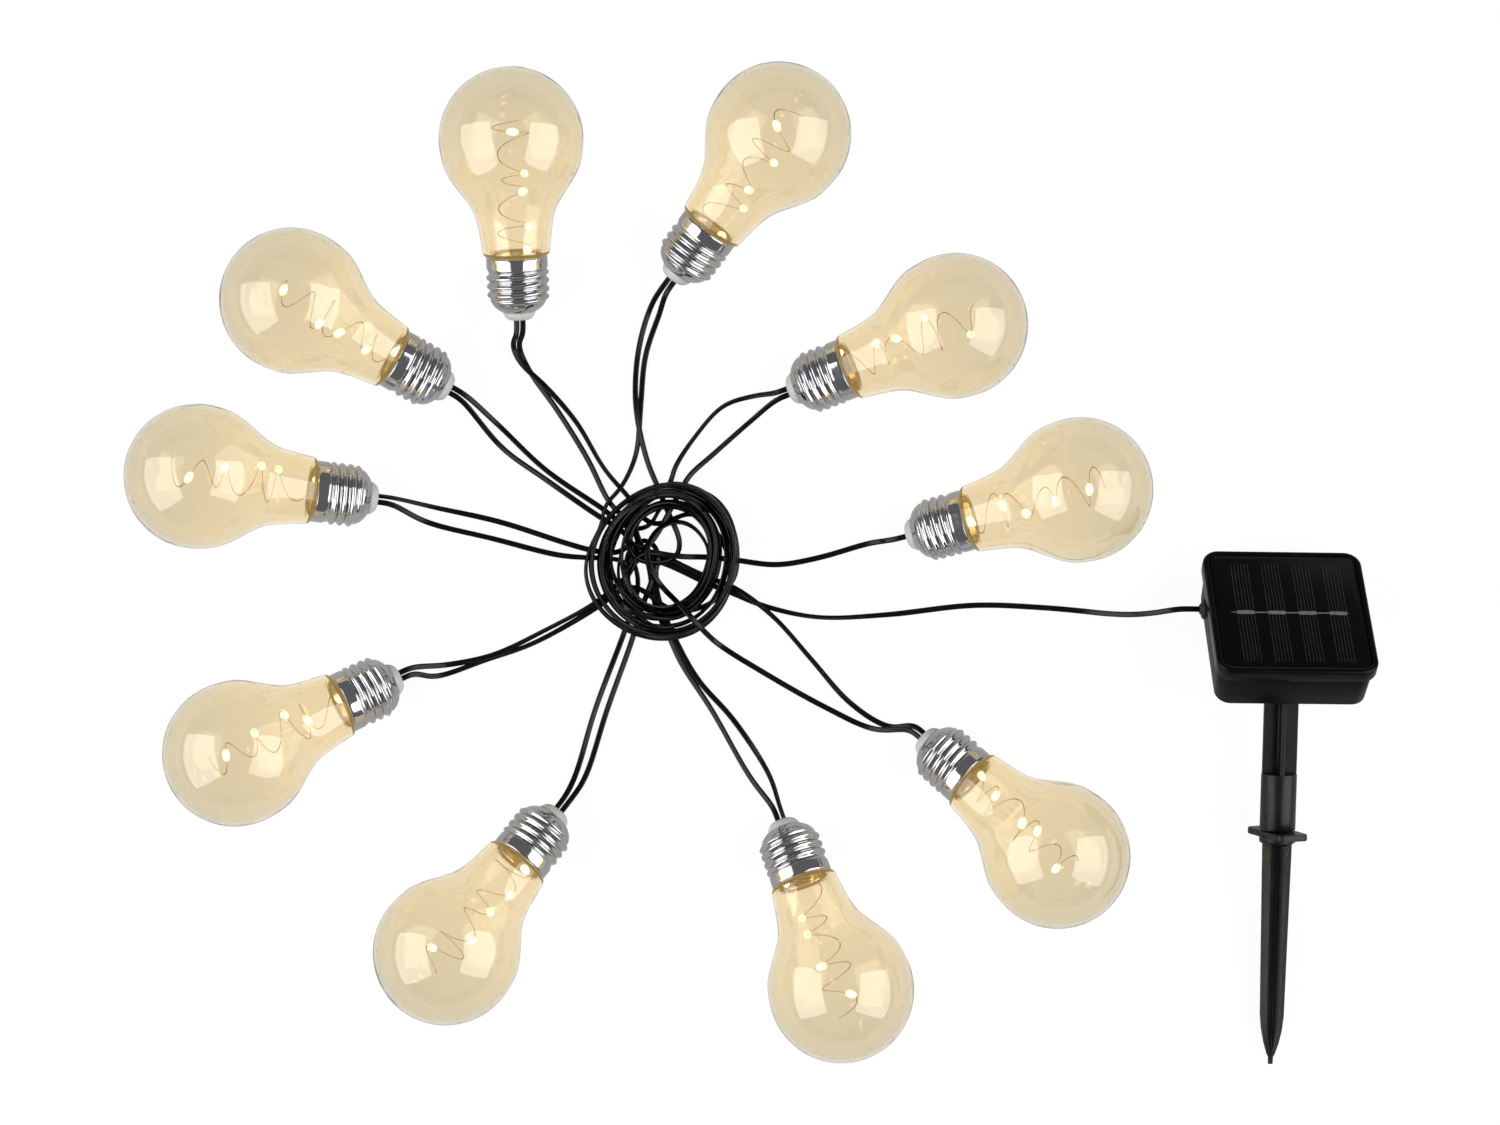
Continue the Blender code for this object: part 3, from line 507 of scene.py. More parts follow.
# a way from inside a plug to the turns as sections of (points, order); two cords in a plug lie side by side
def waySections(k, side, above=0):
    ways = bulbWays[k]
    origin, axes = bulbFrames[k]
    aside = [float(np.dot(np.append(w["floor"][0], 0) - origin, axes[0])) for w in ways]
    sideways = 0.0 if len(ways) == 1 else math.copysign(bulbSet["cordAside"], aside[side] - aside[1 - side])
    mouth = [carry((sideways, 0, bulbSet["plugEnd"] + t), origin, axes) for t in bulbSet["mouth"]]
    floor, through = ways[side]["floor"], ways[side]["through"]
    return [(mouth, orderSet["floor"]), (floor, above), (through, above or orderSet["under"])]


def turnedBack(sections):
    return [(list(points)[::-1], order) for points, order in sections[::-1]]


# one link: out of its bulb, round the coil with most of it at the given share, and on to the next bulb
def linkSections(k, share):
    out, back = bulbWays[k][1], bulbWays[k + 1][0]
    start, stop = out["joins"], back["joins"]
    while stop > start - linkSet["leastTurn"]:
        stop -= 360
    places = [(0, out["share"]), *((u, share) for u in linkSet["held"]), (1, back["share"])]
    turns = ringRun(start, stop, places, linkSet["waver"], linkSet["seed"] + k)
    above, order = 0, orderSet["links"] + orderSet["eachLink"] * k
    if k == 0:
        above, order = orderSet["over"], orderSet["top"]
    return waySections(k, 1, above) + [(turns, order)] + turnedBack(waySections(k + 1, 0))


# the lead: from the gland along the floor, through the opening, round the coil outwards and in again, and
# back through the opening to the first bulb
def leadSections():
    nose = [carry((glandSet["nose"] + d, *glandSet["at"]), *box) for d in glandSet["mouth"]]
    start = leadWay["joins"]
    stop = bulbWays[0][0]["joins"] - 360 * leadSet["turns"]
    middle = (start + stop) / 2
    outwards = ringRun(start, middle, **leadSet["outwards"])
    inwards = ringRun(middle - ringSet["degrees"], stop, **leadSet["inwards"])
    sections = [(nose + leadWay["floor"], orderSet["floor"]), (leadWay["through"], orderSet["under"])]
    sections += [(outwards, orderSet["outwards"]), (inwards, orderSet["inwards"])]
    return sections + turnedBack(waySections(0, 0))


# plan of a cord: sections joined into one smooth line, x, y and wanted height, with each point's order
def planCord(sections):
    points = [np.append(p, 0.0)[:3] for part, _ in sections for p in np.asarray(part, float)]
    orders = np.array([order for part, order in sections for _ in part])
    line = smoothLine(points, cordSet["step"])
    line[:, :2] = np.column_stack([soften(line[:, i], cordSet["soften"]) for i in (0, 1)])
    run = runAlong(points)
    at = np.linspace(0, run[-1], len(line))
    return line, orders[np.clip(np.searchsorted(run, at + 1e-9), 0, len(orders) - 1)]


plans = [planCord(leadSections())]
for k in range(len(bulbWays) - 1):
    low, high = linkSet["shares"]
    for _ in range(linkSet["halvings"]):
        share = (low + high) / 2
        plan = planCord(linkSections(k, share))
        low, high = (low, share) if runAlong(plan[0][:, :2])[-1] > cordSet["linkLength"] else (share, high)
    plans.append(plan)
print("cords planned")


# twist of the flat cord: on edge in the coil, near flat on the floor, always changing slowly. onEdge and flat
# are a mean and a share of the sway, in radians; sway is size and mm to a radian
twistSet = {
    "onEdge": (1.05, 0.6), "flat": (0.25, 0.75), "sway": [(0.55, 31), (0.4, 17)], "soften": 5, "seed": 70,
}


def twistAlong(line, order, seed):
    run = np.arange(len(line)) * cordSet["step"]
    phase = phases(seed, len(twistSet["sway"]))
    inCoil = (order > orderSet["under"]) & (order < orderSet["over"])
    onEdge = soften(inCoil.astype(float), twistSet["soften"])
    sway = sum(size * np.sin(run / every + shift) for (size, every), shift in zip(twistSet["sway"], phase))
    edge, flat = (mean + size * sway for mean, size in (twistSet["onEdge"], twistSet["flat"]))
    return onEdge * edge + (1 - onEdge) * flat


# laying, in points along a cord; reach is a share of the cords' widths
laySet = {
    "stretch": 26, "reach": 0.43, "ownNear": 8, "lookBack": 30, "crest": 2, "soften": 2.4, "finish": 1.6,
    "hold": 4,
}


# each stretch drops until it rests on the floor or on what already lies there. Two cords a plan distance d
# apart touch when their heights differ by the sum of their half heights times the root of 1 - (d / reach)
# squared
def layCords(plans):
    twists = [twistAlong(line, order, twistSet["seed"] + c) for c, (line, order) in enumerate(plans)]
    long, crest = laySet["stretch"], laySet["crest"]
    w, t = cordSet["width"], cordSet["thick"]
    wide = [np.hypot(w * np.cos(a), t * np.sin(a)) for a in twists]
    tall = [np.hypot(w * np.sin(a), t * np.cos(a)) for a in twists]
    stretches = []
    for c, (line, order) in enumerate(plans):
        cuts = [0, *(np.flatnonzero(np.diff(order)) + 1), len(line)]
        for a, b in zip(cuts[:-1], cuts[1:]):
            stretches += [(order[a], c, start, min(start + long, b)) for start in range(a, b, long)]
    wanted = [np.maximum(tall[c] / 2, line[:, 2]) for c, (line, _) in enumerate(plans)]
    resting = [height.copy() for height in wanted]
    down = np.zeros((0, 7))  # x, y, z, wide, tall, cord and place of what already lies
    for _, c, a, b in sorted(stretches):
        here = np.arange(a, b)
        spot = plans[c][0][here, :2]
        gap = np.linalg.norm(spot[:, None] - down[None, :, :2], axis=-1)
        reach = laySet["reach"] * (wide[c][here, None] + down[None, :, 3])
        rise = 0.5 * (tall[c][here, None] + down[None, :, 4]) * np.sqrt(np.clip(1 - (gap / reach) ** 2, 0, 1))
        own = (down[None, :, 5] == c) & (np.abs(down[None, :, 6] - here[:, None]) < laySet["ownNear"])
        lift = np.where((gap < reach) & ~own, down[None, :, 2] + rise, 0)
        wanted[c][here] = np.maximum(wanted[c][here], lift.max(axis=1, initial=0))
        spread = np.pad(wanted[c][max(a - laySet["lookBack"], 0) : b], crest, mode="edge")
        highest = np.lib.stride_tricks.sliding_window_view(spread, 2 * crest + 1).max(axis=-1)
        eased = soften(highest, laySet["soften"])[-len(here) :]
        resting[c][here] = np.maximum(eased, tall[c][here] / 2)
        laidHere = (resting[c][here], wide[c][here], tall[c][here], np.full(len(here), c), here)
        down = np.vstack([down, np.column_stack([spot, *laidHere])])
    laid = []
    for c, (line, _) in enumerate(plans):
        z = np.maximum(soften(resting[c], laySet["finish"]), tall[c] / 2)
        ends = np.minimum(np.arange(len(z)), np.arange(len(z))[::-1])
        hold = np.clip(ends / laySet["hold"], 0, 1)
        laid.append((np.column_stack([line[:, :2], hold * z + (1 - hold) * line[:, 2]]), twists[c]))
    return laid


# section of a flat twin lead: two round cores side by side with a groove between them, in mm across and up
def twinSection():
    radius = cordSet["thick"] / 2
    offset = cordSet["width"] / 2 - radius
    a = np.radians(np.linspace(*cordSet["arc"]))
    right = np.column_stack([offset + radius * np.cos(a), radius * np.sin(a)])
    return np.vstack([right, -right])


# swept tube: each ring is the section turned by the twist, square to the path; u of the UV is mm along
def sweptPiece(name, path, section, twist, material):
    along = unitLong(np.gradient(path, axis=0))
    across = np.cross(along, (0.0, 0.0, 1.0))
    across[np.linalg.norm(across, axis=1) < 1e-3] = (1.0, 0.0, 0.0)
    across = unitLong(across)
    up = np.cross(across, along)
    c, s = np.cos(twist)[:, None], np.sin(twist)[:, None]
    first, second = c * across + s * up, c * up - s * across
    grid = path[:, None] + section[None, :, :1] * first[:, None] + section[None, :, 1:] * second[:, None]
    around = np.arange(len(section))[None] / len(section)
    uv = np.stack(np.broadcast_arrays(runAlong(path)[:, None], around), axis=-1)
    faces = gridFaces(*grid.shape[:2], capped=True)
    return makePiece(name, grid, faces, material, uv=uv, smoothAngle=60.0, merge=False)


for k, (path, twist) in enumerate(layCords(plans)):
    name = f"link_cord_{k}" if k else "lead_cord_laid"
    piece = sweptPiece(name, path, twinSection(), twist, cordBlack)
    handOver(piece, "black_cord", "cord_coil", "string_cord" if k else "lead_cord")

# globe: a ball that runs into a neck, with a lip and a spigot inside the cap; stations from the ball's centre
globeSet = {
    "radius": 30.0,
    "neck": [
        (5.0, 29.6), (9.0, 28.9), (12.5, 27.8), (17.0, 25.4), (21.0, 22.7), (24.5, 20.3), (27.5, 18.4),
        (31.0, 16.9), (35.0, 15.9), (39.5, 15.1), (44.0, 14.5), (47.0, 14.1),
    ],
    "lip": [(48.0, 13.8), (48.5, 13.2), (48.7, 12.2), (48.8, 11.4), (53.2, 11.3), (53.2, 10.2), (47.9, 10.2)],
    "wall": 1.25, "sides": 72, "ballArc": (0, 99, 26), "neckStep": 1.6, "neckGap": 0.8,
}


# outside down from the crown, round the lip and spigot, and back up the inside, one wall in from the outside
def globeProfile():
    around = np.radians(np.linspace(*globeSet["ballArc"]))
    ball = np.column_stack([-globeSet["radius"] * np.cos(around), globeSet["radius"] * np.sin(around)])
    neck = smoothLine(np.vstack([ball[-3:], globeSet["neck"]]), globeSet["neckStep"])
    outer = np.vstack([ball, neck[neck[:, 0] > ball[-1, 0] + globeSet["neckGap"]]])
    along = unitLong(np.gradient(outer, axis=0))
    inner = outer + globeSet["wall"] * np.column_stack([along[:, 1], -along[:, 0]])
    inner[0] = (globeSet["wall"] - globeSet["radius"], 0)
    inner[:, 1] = np.clip(inner[:, 1], 0, None)
    return np.vstack([outer, globeSet["lip"], inner[::-1]])


# screw cap: a plain band, a right-hand thread of four turns, and a dome. The radius is the root's plus a
# rounded crest wherever station / pitch minus angle / full turn is near a whole number, faded in
# and out from a station over some mm
capSet = {
    "pitch": 3.63, "crest": 1.25, "round": 0.85, "first": 55.9, "fadeIn": (54.3, 1.5),
    "fadeOut": (68.0, 1.6), "soften": 1.4, "least": 7.2, "sides": 84, "rows": 112,
    "root": [
        (48.9, 12.5), (49.15, 12.8), (53.7, 12.8), (54.2, 12.6), (54.8, 11.9), (66.8, 11.75), (68.2, 11.4),
        (69.6, 10.6), (70.9, 9.3), (71.8, 8.0), (72.1, 7.3),
    ],
    "inside": [(72.1, 6.8), (71.3, 7.2), (69.0, 9.6), (66.5, 11.0), (50.0, 11.5), (48.9, 11.75)],
}


def capGrid():
    root, inside = np.array(capSet["root"]), np.array(capSet["inside"])
    station = np.linspace(root[0, 0], root[-1, 0], capSet["rows"])
    angle = np.arange(capSet["sides"]) * 2 * np.pi / capSet["sides"]
    base = np.maximum(soften(np.interp(station, *root.T), capSet["soften"]), capSet["least"])
    (start, rise), (stop, fall) = capSet["fadeIn"], capSet["fadeOut"]
    fade = np.clip((station - start) / rise, 0, 1) * np.clip((stop - station) / fall, 0, 1)
    turn = 2 * np.pi * (station[:, None] - capSet["first"]) / capSet["pitch"] - angle[None]
    crest = (0.5 + 0.5 * np.cos(turn)) ** capSet["round"]
    outer = base[:, None] + capSet["crest"] * fade[:, None] * crest
    radius = np.vstack([outer, np.repeat(inside[:, 1:], len(angle), axis=1)])
    along = np.repeat(np.concatenate([station, inside[:, 0]])[:, None], len(angle), axis=1)
    return np.stack([radius * np.cos(angle), radius * np.sin(angle), along], axis=-1)


# plug: a short cone with a dished end that the cord leaves by
plugRows = [
    (71.2, 0.0), (71.2, 6.4), (72.3, 6.55), (72.4, 6.9), (73.0, 6.8), (74.3, 6.1), (75.2, 5.3), (75.6, 4.6),
    (75.7, 3.6), (75.5, 2.9), (74.2, 2.7), (74.0, 0.0),
]

# wire: two fine copper cores side by side, curling up from the neck, with a lit drop every few centimetres
wireSet = {
    "bottom": 61.0, "top": -9.0, "points": 190, "curls": 6.2, "radius": 6.2, "root": 1.2,
    "swell": (4.5, 0.7), "angleWave": (0.5, 2.3), "radiusWave": (1.5, 1.7), "stationWave": (2.2, 3.3),
    "drift": 1.6, "sides": 7, "seed": 300, "core": 0.11, "apart": 0.24,
    "lights": (0.2, 0.37, 0.53, 0.7, 0.92), "dropLong": 2.7, "dropWide": 1.5, "dropAside": (0.3, 0.2, 1.0),
}


# a helix that wanders: angle, radius and station are each a line plus a slow sine of some size and rate
def wirePath(seed):
    phase = phases(seed, 5)
    u = np.linspace(0, 1, wireSet["points"])
    rise, power = wireSet["swell"]
    swell = np.clip(u * rise, 0, 1) ** power
    waves = []
    for name, shift in zip(("angleWave", "radiusWave", "stationWave"), phase[1:4]):
        size, rate = wireSet[name]
        waves.append(size * np.sin(2 * np.pi * rate * u + shift))
    angle = 2 * np.pi * wireSet["curls"] * u + phase[0] + waves[0]
    radius = wireSet["root"] + swell * (wireSet["radius"] - wireSet["root"] + waves[1])
    station = wireSet["bottom"] + (wireSet["top"] - wireSet["bottom"]) * u + swell * waves[2]
    x = radius * np.cos(angle) + wireSet["drift"] * u * math.cos(phase[4])
    y = radius * np.sin(angle) + wireSet["drift"] * u * math.sin(phase[4])
    return np.column_stack([x, y, station])


# drops: an egg round a point of the wire, long along it: across = wide * sin a, along = long * cos a
def dropGrid(path, share, rows, columns):
    i = int(share * (len(path) - 1))
    along = unitLong(path[i + 1] - path[i - 1])
    side = unitLong(np.cross(along, wireSet["dropAside"]))
    a = np.linspace(0, np.pi, rows)[:, None, None]
    b = (np.arange(columns) * 2 * np.pi / columns)[None, :, None]
    out = np.cos(b) * side + np.sin(b) * np.cross(along, side)
    return path[i] + wireSet["dropLong"] * np.cos(a) * along + wireSet["dropWide"] * np.sin(a) * out


def dropsPiece(name, path, rows=11, columns=12):
    drops = np.array([dropGrid(path, share, rows, columns) for share in wireSet["lights"]])
    faces = [[i + d * rows * columns for i in f] for d in range(len(drops)) for f in gridFaces(rows, columns)]
    row = np.tile(np.repeat(np.arange(rows) / (rows - 1), columns), len(drops))
    return makePiece(name, drops, faces, ledLit, uv=np.column_stack([row, row]))


def bulbPieces(k, origin, axes):
    globe = turnedPiece(f"bulb_globe_{k}", globeProfile(), origin, axes, amber, sides=globeSet["sides"])
    handOver(globe, "amber_clear_plastic", f"globe_{k}")
    cap = capGrid()
    faces = gridFaces(*cap.shape[:2], closeRows=True)
    shell = makePiece(f"bulb_cap_{k}", carry(cap, origin, axes), faces, chrome, smoothAngle=50.0)
    handOver(shell, "chromed_plastic", f"screw_cap_{k}")
    plug = turnedPiece(f"bulb_plug_{k}", plugRows, origin, axes, whitePlastic, sides=48)
    handOver(plug, "white_plastic", f"cord_plug_{k}")
    path = carry(wirePath(wireSet["seed"] + k), origin, axes)
    beside = np.cross(np.gradient(path, axis=0), axes[2])
    beside /= np.maximum(np.linalg.norm(beside, axis=1), 1e-6)[:, None]
    a = np.arange(wireSet["sides"]) * 2 * np.pi / wireSet["sides"]
    section = wireSet["core"] * np.column_stack([np.cos(a), np.sin(a)])
    for letter, sign in (("a", -0.5), ("b", 0.5)):
        line = path + sign * wireSet["apart"] * beside
        core = sweptPiece(f"bulb_wire_{k}_{letter}", line, section, np.zeros(len(line)), copper)
        handOver(core, "copper_wire", f"led_wire_{k}")
    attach(dropsPiece(f"bulb_leds_{k}", path), setBody)


for k, (origin, axes) in enumerate(bulbFrames, 1):
    bulbPieces(k, origin, axes)
print("bulbs made")


# outline of a rectangle with round corners, anticlockwise from the right, at one height
def roundedOblong(halfX, halfY, corner, z, steps=9):
    a = np.radians(np.linspace(0, 90, steps))
    turn = (a[None] + np.radians([0, 90, 180, 270])[:, None]).ravel()
    signX = np.repeat([1, -1, -1, 1], steps)
    signY = np.repeat([1, 1, -1, -1], steps)
    x = signX * (halfX - corner) + corner * np.cos(turn)
    y = signY * (halfY - corner) + corner * np.sin(turn)
    return np.column_stack([x, y, np.full(len(x), z)])


# a skin through rings of (half x, half y, corner, z), or (half, corner, z), with both ends closed flat
def oblongLoft(name, rings, origin, axes, material):
    grid = np.array([roundedOblong(ring[0], *ring[-3:]) for ring in rings])
    faces = gridFaces(*grid.shape[:2], capped=True)
    return makePiece(name, carry(grid, origin, axes), faces, material, smoothAngle=32.0)


# takes one shape from another, or joins it, and drops the tool
def shapeWith(target, tool, operation="DIFFERENCE"):
    step = target.modifiers.new("shape", "BOOLEAN")
    step.operation, step.object, step.solver = operation, tool, "EXACT"
    bpy.context.view_layer.update()
    made = bpy.data.meshes.new_from_object(target.evaluated_get(bpy.context.evaluated_depsgraph_get()))
    target.modifiers.clear()
    target.data = made
    made.shade_smooth()
    made.set_sharp_from_angle(angle=math.radians(32.0))
    bpy.data.objects.remove(tool)


# panel frame: half, corner and height of each ring, up inside the window, over the round rim and down outside
coverSet = {
    "inside": [
        (29.0, 3.2, 20.2), (30.6, 4.0, 20.2), (30.6, 4.0, 22.7), (30.75, 4.1, 23.05), (31.05, 4.4, 23.2),
    ],
    "rim": (32.0, 5.8, 22.0), "rimRadius": 1.2, "rimTurn": (90, 72, 54, 36, 18, 0),
    "outside": [
        (33.2, 7.0, 17.5), (33.08, 6.88, 17.2), (32.8, 6.6, 17.1), (29.6, 4.2, 17.1), (29.6, 4.2, 19.0),
    ],
}
plateSet = [(29.9, 3.4, 20.5), (30.3, 3.7, 20.8), (30.3, 3.7, 22.5), (30.15, 3.6, 22.75), (29.9, 3.4, 22.8)]
turn = np.radians(coverSet["rimTurn"])
outAndUp = np.column_stack([np.cos(turn), np.cos(turn), np.sin(turn)])
rim = np.array(coverSet["rim"]) + coverSet["rimRadius"] * outAndUp
coverRings = [*coverSet["inside"], *rim, *coverSet["outside"]]
handOver(oblongLoft("panel_frame", coverRings, *box, glossBlack), "gloss_black_plastic", "panel_cover")
handOver(oblongLoft("panel_glass", plateSet, *box, solarResin), "solar_laminate", "solar_plate")

# the cells' printed fingers in four columns, and the ribbon across them with a wide pad on each column
fingerSet = {
    "columns": (-18.4, -5.6, 7.2, 20.0), "spread": 3.45, "count": 6, "width": 0.22, "reach": 26.6,
    "top": 22.8, "sunk": 0.02, "proud": {"fingers": 0.02, "ribbon": 0.05, "pads": 0.08},
    "middle": -0.9, "ribbon": (-25.0, 24.0, 0.32), "taper": 3.0, "pad": (3.4, 0.95),
}


def barOutline(x, y, halfX, halfY):
    return [(x - halfX, y - halfY), (x + halfX, y - halfY), (x + halfX, y + halfY), (x - halfX, y + halfY)]


# flat prisms on the plate, a little sunk in it: each outline is lifted to its own height
def prismPiece(name, outlines, proud, material):
    points, faces = [], []
    low, high = fingerSet["top"] - fingerSet["sunk"], fingerSet["top"] + fingerSet["proud"][proud]
    for outline in outlines:
        n, base = len(outline), len(points)
        points += [(x, y, z) for z in (low, high) for x, y in outline]
        faces += [[base + i for i in range(n)][::-1], [base + n + i for i in range(n)]]
        faces += [[base + i, base + (i + 1) % n, base + n + (i + 1) % n, base + n + i] for i in range(n)]
    handOver(makePiece(name, carry(points, *box), faces, material, merge=False), "plated_steel")


spread = np.linspace(-fingerSet["spread"], fingerSet["spread"], fingerSet["count"])
y = fingerSet["middle"]
thin = (fingerSet["width"] / 2, fingerSet["reach"])
fingers = [barOutline(x + d, y, *thin) for x in fingerSet["columns"] for d in spread]
left, right, half = fingerSet["ribbon"]
taper = left + fingerSet["taper"]
ribbon = [(left, y), (taper, y - half), (right, y - half), (right, y + half), (taper, y + half)]
pads = [barOutline(x, y, *fingerSet["pad"]) for x in fingerSet["columns"]]
prismPiece("panel_fingers", fingers, "fingers", fingerInk)
prismPiece("panel_busbar", [ribbon], "ribbon", busInk)
prismPiece("panel_pads", pads, "pads", busInk)

# case: a deep tray with a round socket for the stake on its back, open towards the cover. A sink is a round
# hole in the back, its radius and depth
caseSet = {
    "shell": [
        (29.9, 5.0, 0.0), (30.4, 5.5, 0.1), (30.9, 6.0, 0.4), (31.2, 6.3, 0.9), (31.75, 6.3, 15.6),
        (31.65, 6.2, 15.9), (31.4, 6.0, 16.0),
    ],
    "hollow": [(28.2, 4.0, 2.0), (28.2, 4.0, 18.0)],
    "socket": [(-4.0, 0.0), (-4.0, 10.3), (-24.2, 10.5), (-24.7, 10.2), (-24.8, 9.8), (-24.8, 0.0)],
    "bore": [(-13.4, 0.0), (-13.4, 7.55), (-24.3, 7.55), (-24.9, 8.1), (-28.0, 8.1), (-28.0, 0.0)],
    "trim": [(40.0, 2.0, 1.2), (40.0, 2.0, 40.0)], "sinkFrom": -3.0,
    "screwAt": 25.3, "screwSink": (2.9, 2.5), "button": (21.0, 4.0), "buttonSink": (3.3, 4.0),
}
case = oblongLoft("case_shell", caseSet["shell"], *box, satinBlack)
foot = turnedPiece("socket_tool", caseSet["socket"], *unit, satinBlack)
shapeWith(foot, oblongLoft("trim_tool", caseSet["trim"], *box, satinBlack))
shapeWith(case, foot, "UNION")
shapeWith(case, turnedPiece("bore_tool", caseSet["bore"], *unit, satinBlack))
shapeWith(case, oblongLoft("hollow_tool", caseSet["hollow"], *box, satinBlack))
s, back = caseSet["screwAt"], caseSet["sinkFrom"]
sinks = [(x, y, *caseSet["screwSink"]) for x in (-s, s) for y in (-s, s)]
sinks.append((*caseSet["button"], *caseSet["buttonSink"]))
for x, y, r, deep in sinks:
    rows = [(back, 0.0), (back, r), (deep, r), (deep, 0.0)]
    sink = turnedPiece("sink_tool", rows, carry((x, y, 0), *box), boxAxes, satinBlack, sides=40)
    shapeWith(case, sink)
handOver(case, "satin_black_plastic", "back_case")

# button: a domed rubber cap with a collar inside the case and a stem to the board
buttonRows = [
    (-1.6, 0.0), (-1.55, 1.4), (-1.35, 2.3), (-1.0, 2.8), (-0.6, 3.0), (2.3, 3.0), (2.3, 4.4), (3.1, 4.4),
    (3.1, 1.5), (4.3, 1.5), (4.3, 0.0),
]
buttonAt = carry((*caseSet["button"], 0), *box)
button = turnedPiece("button_cap", buttonRows, buttonAt, boxAxes, blackRubber, sides=48)
handOver(button, "black_rubber", "power_button", body="button")

# gland: turned about the box's own x, nose to the left
glandRows = [
    (-34.6, 0.0), (-34.6, 1.8), (-34.45, 2.1), (-33.9, 2.5), (-33.55, 3.7), (-33.2, 4.15), (-32.9, 4.2),
    (-32.1, 4.2), (-32.0, 2.6), (-27.9, 2.6), (-27.9, 3.5), (-26.5, 3.5), (-26.5, 0.0),
]
glandAxes = np.array([boxAxes[1], boxAxes[2], boxAxes[0]])
glandAt = carry((0, *glandSet["at"]), *box)
gland = turnedPiece("lead_gland", glandRows, glandAt, glandAxes, blackRubber, sides=48)
handOver(gland, "satin_black_plastic", "cable_gland")
print("solar box made")


# outline of a cross: four blades this long and half thick
def crossOutline(reach, half, z):
    quarter = np.array([(reach, -half), (reach, half), (half, half)])
    turns = [(1, 0), (0, 1), (-1, 0), (0, -1)]
    flat = np.vstack([quarter @ np.array([(c, s), (-s, c)]) for c, s in turns])
    return np.column_stack([flat, np.full(len(flat), z)])


# edges sharper than this many degrees are rounded, mm
edgeSet = {"width": 0.3, "segments": 3, "above": 40}


def crossLoft(name, stations, axes):
    grid = np.array([crossOutline(reach, half, -t) for t, reach, half in stations])
    faces = gridFaces(*grid.shape[:2], capped=True)
    piece = makePiece(name, carry(grid, unitOrigin, axes), faces, stakeBlack, smoothAngle=30.0)
    bevel = piece.modifiers.new("edges", "BEVEL")
    bevel.width, bevel.segments = edgeSet["width"] * mm, edgeSet["segments"]
    bevel.limit_method, bevel.angle_limit = "ANGLE", math.radians(edgeSet["above"])
    return piece


# stake: stations along its axis; the spike's blades stand at an eighth of a turn to the pole's
stakeSet = {
    "ribs": [(13.8, 7.2, 0.9), (57.0, 7.2, 0.9)],
    "sleeve": [
        (-55.0, 0.0), (-55.0, 6.9), (-55.15, 7.25), (-55.5, 7.4), (-78.2, 7.4), (-78.5, 7.25), (-78.6, 7.0),
        (-78.6, 4.6), (-78.4, 4.4), (-61.0, 4.4), (-61.0, 0.0),
    ],
    "spikeTurn": -45.0,
    "blades": [
        (81.0, 6.6, 1.4), (157.0, 5.3, 1.2), (163.0, 4.6, 1.1), (168.5, 3.3, 1.0), (173.5, 1.6, 0.8),
        (174.5, 1.0, 0.6), (177.5, 0.9, 0.6),
    ],
    "flangeTurn": -69.5, "flangeHalf": (13.8, 7.0),
    "flange": [
        (0.4, 2.1, -81.8), (0.1, 2.4, -81.6), (0.0, 2.5, -81.2), (0.0, 2.5, -79.6), (0.1, 2.4, -79.2),
        (0.4, 2.1, -79.0),
    ],
    "hub": [(-81.0, 0.0), (-81.0, 7.45), (-83.5, 7.45), (-83.8, 7.3), (-84.9, 5.6), (-84.9, 0.0)],
    "peg": [(-80.0, 0.0), (-80.0, 4.0), (-62.8, 4.0), (-62.0, 3.2), (-62.0, 0.0)],
}
spikeAxes = (unitTurn @ turnAbout(2, stakeSet["spikeTurn"])).T
flangeAxes = (unitTurn @ turnAbout(2, stakeSet["flangeTurn"])).T
halfX, halfY = stakeSet["flangeHalf"]
flangeRings = [(halfX - d, halfY - d, corner, z) for d, corner, z in stakeSet["flange"]]
poleParts = [
    crossLoft("pole_ribs", stakeSet["ribs"], unitAxes),
    turnedPiece("pole_sleeve", stakeSet["sleeve"], *unit, stakeBlack),
]
spikeParts = [
    crossLoft("spike_blades", stakeSet["blades"], spikeAxes),
    oblongLoft("spike_flange", flangeRings, unitOrigin, flangeAxes, stakeBlack),
    turnedPiece("spike_hub", stakeSet["hub"], *unit, stakeBlack),
    turnedPiece("spike_peg", stakeSet["peg"], unitOrigin, spikeAxes, stakeBlack, sides=48),
]
for piece in poleParts:
    handOver(piece, "satin_black_plastic", "stake_pole", body="pole")
for piece in spikeParts:
    handOver(piece, "satin_black_plastic", "ground_spike", body="spike")
print("stake made")

# nodes inside the box keep their shape and get their finishes
nodeFinish = {
    "case_seal": blackRubber,
    "battery": batterySleeve,
    "battery_contact_minus": zincSteel,
    "battery_contact_plus": zincSteel,
    "circuit_board": boardGreen,
    **{f"case_screw_{k}": zincSteel for k in range(1, 5)},
}
for node, material in nodeFinish.items():
    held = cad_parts[node]
    held.data.materials.clear()
    held.data.materials.append(material)


# how much of the white background a ray sees: all of it looked at or seen through the globes, less mirrored
def whiteSeen(tree, mirrored):
    rays = addNode(tree, "LightPath").outputs
    share = addNode(tree, "Math", {0: rays["Is Glossy Ray"], 1: mirrored}, operation="MULTIPLY").outputs[0]
    for direct in ("Is Camera Ray", "Is Transmission Ray"):
        share = addNode(tree, "Math", {0: share, 1: rays[direct]}, operation="MAXIMUM").outputs[0]
    return share


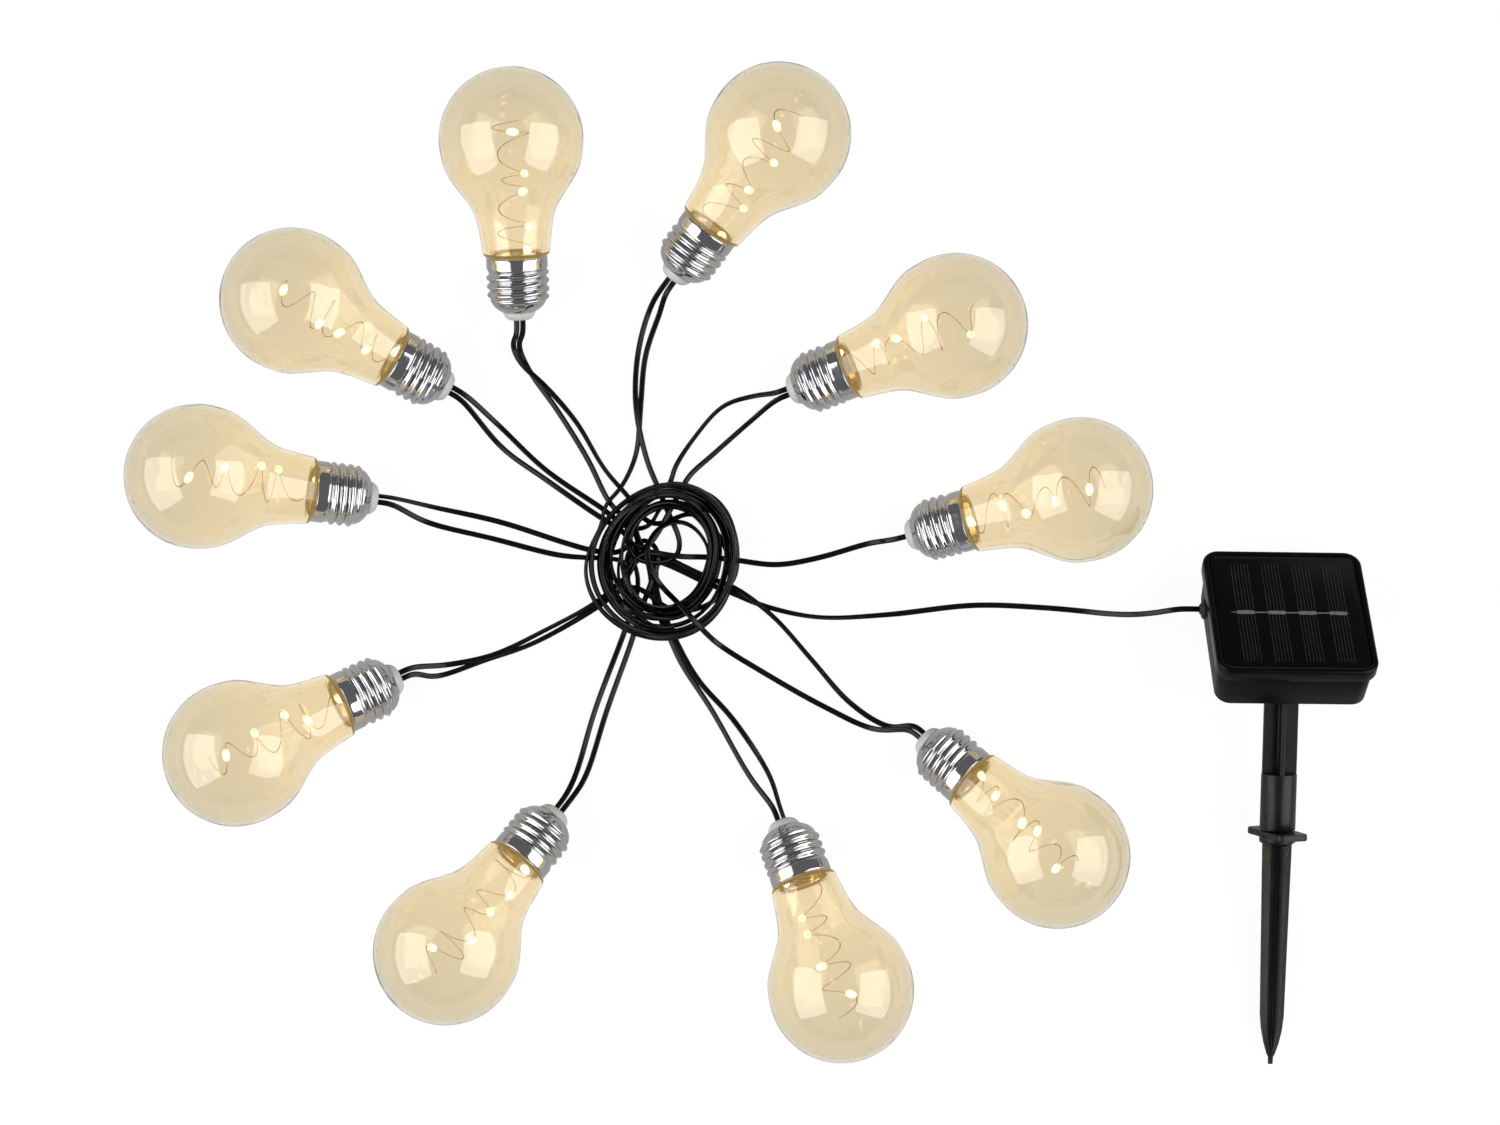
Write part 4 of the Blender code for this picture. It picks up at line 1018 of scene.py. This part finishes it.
# floor: white where it is looked at, and matt, so that the set keeps a soft shadow on it
floorSet = {"half": 9.0, "z": -0.0006, "share": 0.72, "mirrored": 0.35, "level": 1.3, "white": (1, 1, 1, 1)}
floorMesh = bpy.data.meshes.new("floor")
e, z = floorSet["half"], floorSet["z"]
floorMesh.from_pydata([(-e, -e, z), (e, -e, z), (e, e, z), (-e, e, z)], [], [(0, 1, 2, 3)])
floor = addObject("floor", floorMesh)
paper, tree, shader, _ = startMaterial(
    "white paper sweep", {"Base Color": toLinear("9C9C9C"), "Roughness": 0.9, "Specular IOR Level": 0.0}
)
looks = {0: whiteSeen(tree, floorSet["mirrored"]), 1: floorSet["share"]}
share = addNode(tree, "Math", looks, operation="MULTIPLY")
glow = addNode(tree, "Emission", {"Color": floorSet["white"], "Strength": floorSet["level"]})
kinds = {0: share.outputs[0], 1: shader.outputs[0], 2: glow.outputs[0]}
addNode(tree, "MixShader", kinds, feeds=tree.nodes["Material Output"].inputs["Surface"])
floorMesh.materials.append(paper)

# world: white behind the floor, and a dim room for light and most of the reflections
roomSet = {"mirrored": 0.1, "dim": (0.08, 0.08, 0.083, 1), "white": (1, 1, 1, 1)}
world = bpy.data.worlds.new("studio")
scene.world = world
world.use_nodes = True
tree = world.node_tree
room = {0: whiteSeen(tree, roomSet["mirrored"]), 6: roomSet["dim"], 7: roomSet["white"]}
shade = addNode(tree, "Mix", room, data_type="RGBA")
tree.links.new(shade.outputs[2], tree.nodes["Background"].inputs["Color"])

# two large soft boxes, left and right of the set; size is across and up, metres
lampSet = {
    "soft_box_left": {"at": (-1.39, -0.27, 0.95), "size": (2.1, 1.7), "power": 30.0},
    "soft_box_right": {"at": (1.36, -0.22, 0.95), "size": (2.0, 1.7), "power": 28.0},
}
for name, lamp in lampSet.items():
    light = bpy.data.lights.new(name, "AREA")
    light.shape = "RECTANGLE"
    light.size, light.size_y = lamp["size"]
    light.energy = lamp["power"]
    held = addObject(name, light)
    held.location = lamp["at"]
    inward = -unitLong(np.array(lamp["at"]))
    held.rotation_euler = (math.acos(-inward[2]), 0, math.atan2(inward[1], inward[0]) - math.pi / 2)
print("stage and lamps placed")
